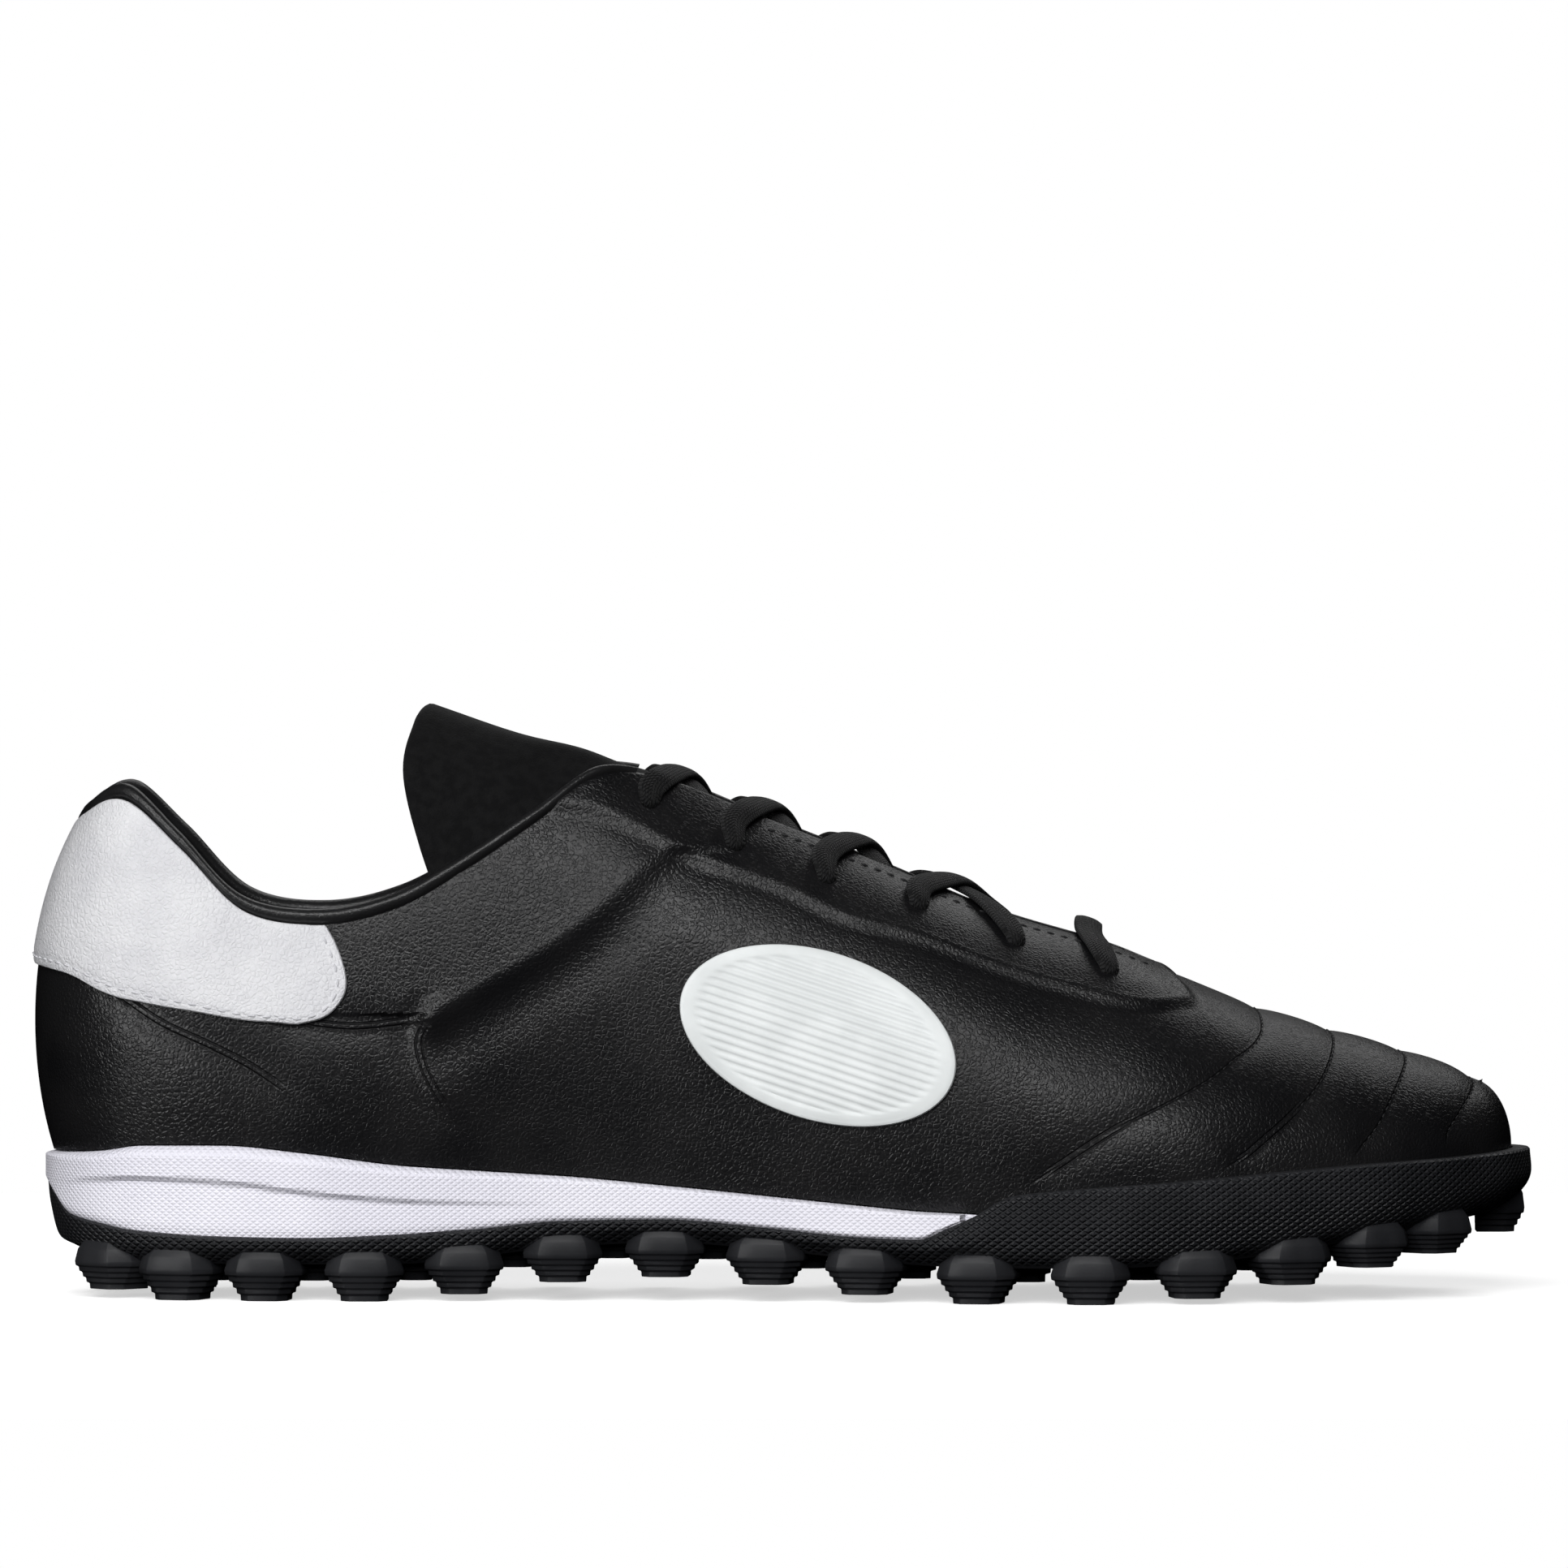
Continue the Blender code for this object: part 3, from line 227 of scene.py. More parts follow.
TAB_FRONT_MM = ((52.5, 55.0), (58.0, 56.6), (61.2, 60.6), (61.2, 64.8), (59.6, 69.5))
QUILT_MM = (
    ((241.8, 52.2), (235.4, 47.2), (225.3, 40.8), (218.9, 37.6), (212.5, 34.4), (202.4, 27.8),
     (195.9, 23.4)),
    ((254.9, 45.8), (248.2, 37.6), (240.3, 30.7), (233.5, 26.2)),
    ((268.2, 40.8), (264.6, 34.4), (259.5, 28.3)),
    ((280.3, 35.0), (278.1, 30.1)),
)
QUILT_TOP = (0.815, 0.863, 0.910, 0.955)
QUILT_DEPTH = (0.00095, 0.00090, 0.00080, 0.00070)

# Relief of the upper, from the quilting to the ridge
QUILT_TWINS = 2
QUILT_WIDTH = 0.0036
QUILT_RIB = 0.00028
LINE_REACH = 0.0032
PANEL_BLEND = (-0.0020, 0.0024)
PANEL_LIP = 0.00022
PANEL_DITCH = 0.00010
SEAM_RIB = 0.00030
SEAM_TAIL = 0.00025
SEAM_TROUGH = 0.0005
FOLD_CREST = 0.00055
FOLD_TROUGH = 0.00050
FOLD_FULL = 0.00035
RIDGE_LIFT = 0.0013
RIDGE_WIDTH = 0.0090
RIDGE_TROUGH = 0.0008

# Cutting of the lace holes and the rounded rim
PIN_SIDES = 24
PIN_DEPTH = 0.005
PIN_HEIGHT = 0.004
RIM_TURNS = 5
RIM_FLATNESS = 0.8

# Distances and shares of the drawn lines where none is near
NO_MARKS = {"line": 9.0, "line_share": 0.0, "rib": 9.0, "rib_share": 0.0}


# Curves

def unit(v):
    return v / np.maximum(np.linalg.norm(v, axis=-1, keepdims=True), 1e-12)


def ease(x, low, high):
    f = np.clip((np.asarray(x, float) - low) / (high - low), 0.0, 1.0)
    return f * f * (3 - 2 * f)


def mix(a, b, f):
    return a + (b - a) * f


def bend(p0, p1, p2, p3, f):
    return 0.5 * (2 * p1 + (p2 - p0) * f + (2 * p0 - 5 * p1 + 4 * p2 - p3) * f * f
                  + (3 * p1 - p0 - 3 * p2 + p3) * f ** 3)


def smooth(rows, t):
    """Catmull-Rom curve through evenly spaced rows; the ends carry their own slope on."""
    rows = np.asarray(rows, float)
    t = np.asarray(t, float)
    i = np.clip(np.floor(t).astype(int), 0, len(rows) - 2)
    f = (t - i).reshape(t.shape + (1,) * (rows.ndim - 1))
    p1, p2 = rows[i], rows[i + 1]
    first = (i == 0).reshape(f.shape)
    final = (i + 2 >= len(rows)).reshape(f.shape)
    p0 = np.where(first, 2 * p1 - p2, rows[np.maximum(i - 1, 0)])
    p3 = np.where(final, 2 * p2 - p1, rows[np.minimum(i + 2, len(rows) - 1)])
    return bend(p0, p1, p2, p3, f)


def closed(rows, t):
    """The same curve round a closed loop of rows."""
    t = np.asarray(t, float)
    i = np.floor(t).astype(int)
    f = (t - i)[..., None]
    p0, p1, p2, p3 = (rows[(i + k) % len(rows)] for k in (-1, 0, 1, 2))
    return bend(p0, p1, p2, p3, f)


# Shape of the last, the same as in the solids

def station_table():
    """Every station in metres."""
    rows = []
    for table, width, height in ((HEEL_STATIONS, HEEL_WIDTH, HEEL_HEIGHT),
                                 (FORE_STATIONS, BALL_WIDTH, INSTEP_HEIGHT)):
        scale = np.array([LENGTH, width, width, LENGTH, width, width, height, width, 1, width, 1])
        rows.append(np.array(table) * scale)
    return np.concatenate(rows)


ROWS = station_table()
BACK = slice(LAST - 1, 0, -1)
OUTLINE = np.concatenate([ROWS[:, (0, 1)] * (1, -1), ROWS[BACK][:, (0, 2)]])
SHARED = np.concatenate([ROWS[:, (0, 3, 4, 6, 7, 8, 9, 10)], ROWS[BACK][:, (0, 3, 4, 6, 7, 8, 9, 10)]])
HALF = ROWS[:, 5]
HALF_ROWS = np.concatenate([[-HALF[1]], HALF[:THROAT_FRONT], [HALF[THROAT_FRONT - 1]]])
THROAT_SOFT_START = 12
THROAT_SOFT_END = np.concatenate([HALF[12:14], HALF[14] * np.array([0.88, 0.44, 0.11, 0.0, 0.0])])
SOLE_TABLE = np.array(SOLE_PROFILE)
SOLE_X = SOLE_TABLE[:, 0] * LENGTH


def profile_slopes():
    """Slope of each column of the sole's profile at each of its rows."""
    step = np.diff(SOLE_TABLE, axis=0) / np.diff(SOLE_X)[:, None]
    slopes = np.empty_like(SOLE_TABLE)
    slopes[0], slopes[-1] = step[0], step[-1]
    a, b = step[:-1], step[1:]
    total = np.where(a + b == 0, 1.0, a + b)
    slopes[1:-1] = np.where(a * b > 0, 2 * a * b / total, 0.0)
    return slopes


SOLE_SLOPES = profile_slopes()


def sole(name, x):
    """Height of one line of the sole at a distance from the heel."""
    k = SOLE_COLUMNS.index(name)
    x = np.clip(x, SOLE_X[0], SOLE_X[-1])
    i = np.clip(np.searchsorted(SOLE_X, x) - 1, 0, len(SOLE_X) - 2)
    span = SOLE_X[i + 1] - SOLE_X[i]
    f = (x - SOLE_X[i]) / span
    a, b = SOLE_TABLE[i, k], SOLE_TABLE[i + 1, k]
    height = ((2 * f ** 3 - 3 * f ** 2 + 1) * a + (f ** 3 - 2 * f ** 2 + f) * span * SOLE_SLOPES[i, k]
              + (3 * f ** 2 - 2 * f ** 3) * b + (f ** 3 - f ** 2) * span * SOLE_SLOPES[i + 1, k])
    return height if name == "groove" else height * SOLE_HEIGHT


def outline(side, s):
    """Point on the sole's outline and its outward direction, both in plan."""
    u = np.asarray(s, float) if side == LATERAL else len(OUTLINE) - np.asarray(s, float)
    along = unit(closed(OUTLINE, u + 0.02) - closed(OUTLINE, u - 0.02))
    return closed(OUTLINE, u), np.stack([along[..., 1], -along[..., 0]], -1)


def inset_point(side, s, inset, z):
    point, out = outline(side, s)
    flat = point - out * np.asarray(inset)[..., None]
    return np.concatenate([flat, np.broadcast_to(z, flat.shape[:-1])[..., None]], -1)


def throat_half(s):
    """Half width of the opening between the two top lines."""
    s = np.asarray(s, float)
    last_open = THROAT_FRONT - 1
    rounded = HALF[last_open] * np.sqrt(np.clip(1 - np.maximum(s - last_open, 0) ** 2, 0, 1))
    straight = smooth(HALF_ROWS[:, None], np.minimum(s, last_open) + 1)[..., 0]
    return np.where(s > last_open, rounded, straight)


def throat_soft(s):
    """Half width with a gentle front end, for the form away from the edge of the throat."""
    s = np.asarray(s, float)
    ahead = smooth(THROAT_SOFT_END[:, None], np.clip(s - THROAT_SOFT_START, 0, len(THROAT_SOFT_END) - 1))
    return np.where(s > THROAT_SOFT_START + 1, ahead[..., 0], throat_half(s))


def station_x(s):
    return outline(LATERAL, s)[0][..., 0]


def station_at(x):
    """Station whose outline point lies at a distance from the heel."""
    fine = np.linspace(0, LAST, 4001)
    return np.interp(x, station_x(fine), fine)


CUP_STATION = float(station_at(CUP_START * LENGTH))
TIP_STATION = float(station_at(MIDSOLE_TIP * LENGTH))


def cup(s):
    """0 where the midsole shows, 1 where the rubber wall covers it."""
    return ease(s, CUP_STATION, TIP_STATION)


def upper_inset(s):
    """The foot of the upper moves in gently before the rubber wall starts."""
    return mix(UPPER_INSET_HEEL, UPPER_INSET_TOE, ease(s, CUP_STATION - 1.8, TIP_STATION + 0.2))


def crest_slope(s):
    share = ease(s, THROAT_BACK + 2, THROAT_FRONT)
    ahead = closed(SHARED, np.minimum(s + 0.05, LAST))
    behind = closed(SHARED, s - 0.05)
    run = ahead[..., 1] - behind[..., 1]
    return share * (ahead[..., 3] - behind[..., 3]) / np.where(np.abs(run) < 1e-7, 1.0, run)


def section(side, s):
    """The four control points of the upper's section at each station."""
    s = np.asarray(s, float)
    u = s if side == LATERAL else len(OUTLINE) - s
    shared = closed(SHARED, u)
    top_x, mid, top_z, out_low, rise, out_high, drop = (shared[..., k] for k in range(1, 8))
    out = outline(side, s)[1]
    foot = inset_point(side, s, upper_inset(s), sole("bed", station_x(s)) + GAP)
    top = np.stack([top_x, mid + side * throat_soft(s), top_z], -1)
    height = top[..., 2] - foot[..., 2]
    low = foot + np.stack([out[..., 0] * out_low, out[..., 1] * out_low, height * rise], -1)
    up = out[..., 0] * crest_slope(s) * out_high - np.maximum(drop, 0.0) * height
    high = top + np.stack([out[..., 0] * out_high, out[..., 1] * out_high, up], -1)
    return foot, low, high, top


def upper_at(side, s, v):
    """Points on the upper's outer form."""
    foot, low, high, top = section(side, s)
    v = np.asarray(v, float)[..., None]
    w = 1 - v
    made = w ** 3 * foot + 3 * w * w * v * low + 3 * w * v * v * high + v ** 3 * top
    edge = (throat_half(s) - throat_soft(s)) * (ease(v, 0.82, 1.0) * v * v * (3 - 2 * v))[..., 0]
    made[..., 1] += side * edge
    return made


def upper_normal(side, s, v):
    """Outward direction of the upper's form."""
    s, v = np.broadcast_arrays(np.asarray(s, float), np.asarray(v, float))
    s0, s1 = np.maximum(s - 0.02, 0.001), np.minimum(s + 0.02, LAST - 0.001)
    s1 = np.where((s < THROAT_FRONT) & (s1 > THROAT_FRONT), s, s1)
    s0 = np.where((s >= THROAT_FRONT) & (s0 < THROAT_FRONT), s, s0)
    along = upper_at(side, s1, v) - upper_at(side, s0, v)
    up = upper_at(side, s, np.minimum(v + 0.01, 1)) - upper_at(side, s, np.maximum(v - 0.01, 0))
    return unit(np.cross(along, up) * -side)


def skin(side, s, v, lift):
    return upper_at(side, s, v) + upper_normal(side, s, v) * np.asarray(lift)[..., None]


def locate(side, x, z):
    """Station and v of the points of the upper seen at x, z from the side."""
    x, z = np.asarray(x, float), np.asarray(z, float)
    s, v = 20.0 * x / LENGTH, np.full_like(x, 0.5)
    for _ in range(60):
        here = upper_at(side, s, v)
        ds = (upper_at(side, s + 0.01, v) - here) / 0.01
        dv = (upper_at(side, s, v + 0.001) - here) / 0.001
        miss_x, miss_z = x - here[..., 0], z - here[..., 2]
        det = ds[..., 0] * dv[..., 2] - dv[..., 0] * ds[..., 2]
        det = np.where(np.abs(det) < 1e-12, 1e-12, det)
        step_s = (miss_x * dv[..., 2] - miss_z * dv[..., 0]) / det
        step_v = (ds[..., 0] * miss_z - ds[..., 2] * miss_x) / det
        s = np.clip(s + np.clip(step_s, -1.5, 1.5), 0.02, LAST - 0.02)
        v = np.clip(v + np.clip(step_v, -0.15, 0.15), 0.0, 0.999)
    return s, v


def located(side, line_mm):
    line = np.array(line_mm) / 1000
    return np.stack(locate(side, line[:, 0], line[:, 1]), -1)


def fine_line(side, line_sv, count=60, lift=0.0):
    """Points on the upper along a smooth line given in stations and v."""
    t = np.linspace(0, len(line_sv) - 1, count)
    sv = smooth(line_sv, t)
    return skin(side, sv[:, 0], np.clip(sv[:, 1], 0, 1), np.full(count, lift))


def near_line(points, normals, line):
    """Distance from each point to a line, its place along the line, and the side it lies on."""
    best = np.full(len(points), 1e9)
    hand = np.ones(len(points))
    place = np.zeros(len(points))
    steps = np.linalg.norm(np.diff(line, axis=0), axis=1)
    starts = np.concatenate([[0], np.cumsum(steps)])
    for a, b, start, step in zip(line[:-1], line[1:], starts, steps):
        along = b - a
        t = np.clip((points - a) @ along / max(step * step, 1e-18), 0, 1)
        away = points - a - t[:, None] * along
        gap = np.linalg.norm(away, axis=1)
        closer = gap < best
        turn = np.sum(np.cross(along, away) * normals, axis=1)
        hand = np.where(closer, np.where(turn < 0, -1.0, 1.0), hand)
        best = np.where(closer, gap, best)
        place = np.where(closer, start + t * step, place)
    return best, place, hand


# Mesh helpers

def quads(index):
    return np.stack([index[:-1, :-1], index[:-1, 1:], index[1:, 1:], index[1:, :-1]], -1).reshape(-1, 4)


def strips(loops, wrap=True):
    """Quads between neighbouring loops of point numbers."""
    loops = np.asarray(loops)
    if wrap:
        loops = np.concatenate([loops, loops[:, :1]], 1)
    return quads(loops)


def slab(points, normals, top, bottom, turns=4):
    """A closed sheet round a grid: faces at two lifts and a rounded rim between them."""
    n, m = points.shape[:2]
    top = np.broadcast_to(top, (n, m))
    bottom = np.broadcast_to(bottom, (n, m))
    index = np.arange(n * m).reshape(n, m)
    loop = np.concatenate([index[0, :-1], index[:-1, -1], index[-1, :0:-1], index[:0:-1, 0]])
    flat, normal = points.reshape(-1, 3), normals.reshape(-1, 3)
    row, column = loop // m, loop % m
    inside = points[np.clip(row, 1, n - 2), np.clip(column, 1, m - 2)]
    p, nn = flat[loop], normal[loop]
    tangent = unit(np.roll(p, -1, 0) - np.roll(p, 1, 0))
    out = unit(np.cross(tangent, nn))
    if np.sum(out * (p - inside)) < 0:
        out = -out
    middle = ((top + bottom) / 2).reshape(-1)[loop][:, None]
    radius = ((top - bottom) / 2).reshape(-1)[loop][:, None]
    layers = [flat + normal * top.reshape(-1, 1), flat + normal * bottom.reshape(-1, 1)]
    for k in range(1, turns):
        angle = math.pi * k / turns
        layers.append(p + nn * (middle + radius * math.cos(angle)) + out * radius * math.sin(angle))
    rims = [loop] + [2 * n * m + len(loop) * k + np.arange(len(loop)) for k in range(turns - 1)]
    rims.append(loop + n * m)
    faces = np.concatenate([quads(index), quads(index)[:, ::-1] + n * m, strips(rims)])

    def spread(values):
        values = np.broadcast_to(values, (n, m)).reshape(-1)
        return np.concatenate([values, values] + [values[loop]] * (turns - 1))

    return np.concatenate(layers), faces, spread


def joined(parts):
    """Several (points, faces) pairs as one."""
    points, faces, start = [], [], 0
    for p, f in parts:
        points.append(p)
        faces.append(np.asarray(f) + start)
        start += len(p)
    return np.concatenate(points), np.concatenate(faces)


def turn_outward(mesh):
    work = bmesh.new()
    work.from_mesh(mesh)
    bmesh.ops.recalc_face_normals(work, faces=work.faces)
    work.to_mesh(mesh)
    work.free()


def piece(name, points, faces, finish, replaces=(), attributes=None, angle=40.0, second=None,
          weld=True, turn=True):
    """A named object of the shoe from points in the shoe's own frame."""
    points = np.asarray(points, float) + SHIFT
    values = dict(attributes or {})
    if weld:
        _, keep, number = np.unique(np.round(points, 8), axis=0, return_index=True, return_inverse=True)
        number = number.reshape(-1)
        points = points[keep]
        values = {key: np.asarray(value)[keep] for key, value in values.items()}
        faces = [number[np.asarray(face)] for face in faces]
    clean, marks = [], []
    for k, face in enumerate(faces):
        face = tuple(dict.fromkeys(int(i) for i in face))
        if len(face) > 2:
            clean.append(face)
            marks.append(0 if second is None else int(second[k]))
    mesh = bpy.data.meshes.new(name)
    mesh.from_pydata(points.tolist(), [], clean)
    mesh.materials.append(finish[0] if isinstance(finish, (list, tuple)) else finish)
    if second is not None:
        mesh.materials.append(finish[1])
        mesh.polygons.foreach_set("material_index", marks)
    for key, value in values.items():
        kind = "FLOAT_VECTOR" if np.ndim(value) == 2 else "FLOAT"
        layer = mesh.attributes.new(key, kind, "POINT")
        field = "vector" if kind == "FLOAT_VECTOR" else "value"
        layer.data.foreach_set(field, np.asarray(value, np.float32).ravel())
    if turn:
        turn_outward(mesh)
    mesh.shade_smooth()
    mesh.set_sharp_from_angle(angle=math.radians(angle))
    made = bpy.data.objects.new(name, mesh)
    bpy.context.scene.collection.objects.link(made)
    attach(made, "root")
    if replaces:
        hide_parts(*replaces)
    return made


def stitches(path, normals, length, gap, radius):
    """Short threads laid end to end along a path."""
    steps = np.linalg.norm(np.diff(path, axis=0), axis=1)
    run = np.concatenate([[0], np.cumsum(steps)])
    count = max(int(run[-1] / (length + gap)), 1)
    parts = []
    for k in range(count):
        a = (k + 0.5) * (length + gap)
        ends = np.array([a - length / 2, a + length / 2])
        at = np.stack([np.interp(ends, run, path[:, c]) for c in range(3)], -1)
        up = unit(np.array([np.interp(a, run, normals[:, c]) for c in range(3)]))
        along = unit(at[1] - at[0])
        across = unit(np.cross(along, up))
        rings = []
        for share, size, sink in ((0.0, 0.25, -1.3), (0.12, 0.75, -0.3), (0.5, 1.0, 0.15),
                                  (0.88, 0.75, -0.3), (1.0, 0.25, -1.3)):
            centre = at[0] + (at[1] - at[0]) * share + up * radius * sink
            angles = np.arange(6) * math.pi / 3
            rings.append(centre + radius * size * (np.cos(angles)[:, None] * across
                                                   + np.sin(angles)[:, None] * up))
        points = np.concatenate(rings)
        loops = np.arange(30).reshape(5, 6)
        faces = strips(loops)
        caps = np.array([[0, 1, 2, 3], [0, 3, 4, 5], [24, 25, 26, 27], [24, 27, 28, 29]])
        parts.append((points, np.concatenate([faces, caps])))
    return parts


# Materials

def node(tree, kind, inputs=None, **settings):
    made = tree.nodes.new("ShaderNode" + kind)
    for key, value in settings.items():
        setattr(made, key, value)
    for key, value in (inputs or {}).items():
        if isinstance(value, bpy.types.NodeSocket):
            tree.links.new(value, made.inputs[key])
        else:
            made.inputs[key].default_value = value
    return made


def sums(tree, kind, a, b=0.0, c=0.0):
    return node(tree, "Math", {0: a, 1: b, 2: c}, operation=kind).outputs[0]


def remap(tree, value, low, high, to_low=0.0, to_high=1.0, kind="SMOOTHSTEP"):
    made = node(tree, "MapRange", {"Value": value, "From Min": low, "From Max": high,
                                   "To Min": to_low, "To Max": to_high}, interpolation_type=kind)
    return made.outputs["Result"]


def attribute(tree, name, vector=False):
    made = node(tree, "Attribute", attribute_name=name, attribute_type="GEOMETRY")
    return made.outputs["Vector" if vector else "Fac"]


def new_finish(name, roughness, specular=0.5, coat=0.0, coat_roughness=0.3, sheen=0.0):
    made = bpy.data.materials.new(name)
    made.use_nodes = True
    tree = made.node_tree
    shader = tree.nodes["Principled BSDF"]
    shader.inputs["Roughness"].default_value = roughness
    shader.inputs["Specular IOR Level"].default_value = specular
    shader.inputs["Coat Weight"].default_value = coat
    shader.inputs["Coat Roughness"].default_value = coat_roughness
    shader.inputs["Sheen Weight"].default_value = sheen
    return made, tree, shader


def place(tree):
    return node(tree, "TexCoord").outputs["Object"]


def two_tone(tree, shader, vector, dark, light, scale):
    """Soft change of colour between two tones."""
    share = remap(tree, noise(tree, vector, scale, 4.0), 0.35, 0.65)
    blend = node(tree, "Mix", {0: share, 6: (*dark, 1.0), 7: (*light, 1.0)}, data_type="RGBA")
    tree.links.new(blend.outputs[2], shader.inputs["Base Color"])


def grain(tree, vector, scale):
    """Leather grain: small raised cells with fine creases between them."""
    warp = node(tree, "TexNoise", {"Vector": vector, "Scale": scale * 0.8, "Detail": 2.0})
    moved = node(tree, "VectorMath", {0: warp.outputs["Color"], 1: (0.5, 0.5, 0.5)},
                 operation="SUBTRACT").outputs[0]
    moved = node(tree, "VectorMath", {0: moved, "Scale": 0.9 / scale}, operation="SCALE").outputs[0]
    moved = node(tree, "VectorMath", {0: vector, 1: moved}, operation="ADD").outputs[0]
    edges = node(tree, "TexVoronoi", {"Vector": moved, "Scale": scale}, feature="DISTANCE_TO_EDGE")
    raised = remap(tree, edges.outputs["Distance"], 0.0, 0.28)
    return sums(tree, "MULTIPLY_ADD", noise(tree, vector, scale * 3.0, 3.0), 0.5, raised)


def bump(tree, shader, layers):
    """Bumps laid on one another; each layer is a height from 0 to 1 and its depth in metres."""
    normal = None
    for height, depth, strength in layers:
        inputs = {"Height": height, "Distance": depth, "Strength": strength}
        if normal is not None:
            inputs["Normal"] = normal
        normal = node(tree, "Bump", inputs).outputs["Normal"]
    tree.links.new(normal, shader.inputs["Normal"])
    if shader.inputs["Coat Weight"].default_value > 0:
        tree.links.new(normal, shader.inputs["Coat Normal"])


def noise(tree, vector, scale, detail):
    return node(tree, "TexNoise", {"Vector": vector, "Scale": scale, "Detail": detail}).outputs["Fac"]


def cells(tree, vector, scale):
    return node(tree, "TexVoronoi", {"Vector": vector, "Scale": scale}).outputs["Distance"]


def cut(tree, height, share):
    """Height that dips below 1 only as far as the share lets it."""
    dip = sums(tree, "MULTIPLY", sums(tree, "SUBTRACT", 1.0, height), share)
    return sums(tree, "SUBTRACT", 1.0, dip)


def toned(name, dark, light, scale, *surface, **more):
    """A finish in two tones, with its tree, its shader and the place on the object."""
    made, tree, shader = new_finish(name, *surface, **more)
    spot = place(tree)
    two_tone(tree, shader, spot, dark, light, scale)
    return made, tree, shader, spot


def leather_finish():
    made, tree, shader, spot = toned("leather_black", (0.0052, 0.0052, 0.0058),
                                     (0.0082, 0.0080, 0.0085), 60.0, 0.36, 0.5)
    rough = remap(tree, noise(tree, spot, 45.0, 2.0), 0.3, 0.7, 0.31, 0.39)
    tree.links.new(rough, shader.inputs["Roughness"])
    line = sums(tree, "ABSOLUTE", attribute(tree, "line"))
    slit = cut(tree, remap(tree, line, 0.0, 0.42), attribute(tree, "line_share"))
    rib = sums(tree, "ABSOLUTE", attribute(tree, "rib"))
    off = sums(tree, "ABSOLUTE", sums(tree, "SUBTRACT", rib, 0.62))
    twin = cut(tree, remap(tree, off, 0.0, 0.34), attribute(tree, "rib_share"))
    bump(tree, shader, [(slit, 0.00030, 1.0), (twin, 0.00034, 1.0),
                        (grain(tree, spot, 1050.0), 0.000065, 0.8)])
    return made


def lining_finish():
    made, tree, shader, spot = toned("lining_black", (0.010, 0.010, 0.011), (0.020, 0.020, 0.021),
                                     300.0, 0.9, 0.25, sheen=0.3)
    bump(tree, shader, [(cells(tree, spot, 900.0), 0.00015, 0.8)])
    return made


def smooth_leather_finish():
    made, tree, shader, spot = toned("piping_black", (0.009, 0.009, 0.0095), (0.013, 0.013, 0.0135),
                                     80.0, 0.36, 0.5, 0.25, 0.30)
    bump(tree, shader, [(noise(tree, spot, 260.0, 3.0), 0.00022, 0.6),
                        (grain(tree, spot, 1300.0), 0.00004, 0.6)])
    return made


def white_leather_finish():
    made, tree, shader, spot = toned("leather_white", (0.62, 0.62, 0.645), (0.68, 0.68, 0.70), 90.0,
                                     0.50, 0.40)
    bump(tree, shader, [(grain(tree, spot, 1000.0), 0.00011, 0.8)])
    return made


def oval_finish():
    made, tree, shader, spot = toned("motif_white", (0.66, 0.685, 0.685), (0.72, 0.745, 0.745), 120.0,
                                     0.42, 0.45)
    bump(tree, shader, [(noise(tree, spot, 2500.0, 2.0), 0.00002, 0.5)])
    return made


def diamonds(tree, flat, wide, tall, sharp):
    """Raised diamonds over a flat map in millimetres."""
    parts = node(tree, "SeparateXYZ", {0: flat})
    a = sums(tree, "DIVIDE", parts.outputs[0], wide)
    b = sums(tree, "DIVIDE", parts.outputs[1], tall)
    first = sums(tree, "PINGPONG", sums(tree, "ADD", a, b), 0.5)
    second = sums(tree, "PINGPONG", sums(tree, "SUBTRACT", a, b), 0.5)
    return remap(tree, sums(tree, "MINIMUM", first, second), 0.02, sharp)


def foam_finish():
    made, tree, shader, spot = toned("foam_white", (0.765, 0.755, 0.835), (0.82, 0.81, 0.885), 40.0,
                                     0.62, 0.35)
    scales = diamonds(tree, attribute(tree, "flat", True), 1.5, 1.1, 0.42)
    bump(tree, shader, [(scales, 0.00016, 0.8), (noise(tree, spot, 1800.0, 3.0), 0.00003, 0.5)])
    return made


def rubber_finish():
    made, tree, shader, spot = toned("rubber_black", (0.012, 0.0125, 0.0145), (0.019, 0.0195, 0.022),
                                     70.0, 0.50, 0.5)
    knurl = diamonds(tree, attribute(tree, "flat", True), 2.1, 1.4, 0.34)
    knurl = sums(tree, "MULTIPLY", knurl, attribute(tree, "knurl"))
    bump(tree, shader, [(knurl, 0.00045, 1.0), (noise(tree, spot, 1500.0, 4.0), 0.00004, 0.6)])
    return made


def weave_finish(name, dark, light, rough):
    """Flat braid: rows of small slanted ribs that meet in the middle; its colour carries painted shade,
    darker in the grooves and lighter on the rib tops.
    """
    made, tree, shader = new_finish(name, rough, 0.3, sheen=0.04)
    flat = node(tree, "SeparateXYZ", {0: attribute(tree, "flat", True)})
    along, across = flat.outputs[0], sums(tree, "ABSOLUTE", flat.outputs[1])
    slant = sums(tree, "MULTIPLY_ADD", across, 0.75, along)
    ribs = sums(tree, "PINGPONG", sums(tree, "DIVIDE", slant, 0.85), 0.5)
    rows = sums(tree, "PINGPONG", sums(tree, "DIVIDE", across, 0.8), 0.5)
    height = sums(tree, "MULTIPLY", remap(tree, ribs, 0.03, 0.42), remap(tree, rows, 0.02, 0.30))
    # Painted shade: the colour runs from the dark tone in the grooves to the light tone on the rib tops,
    # following the rib height.
    blend = node(tree, "Mix", {0: height, 6: (*dark, 1.0), 7: (*light, 1.0)}, data_type="RGBA")
    tree.links.new(blend.outputs[2], shader.inputs["Base Color"])
    bump(tree, shader, [(height, 0.00028, 1.0), (noise(tree, place(tree), 4000.0, 3.0), 0.00006, 0.7)])
    return made


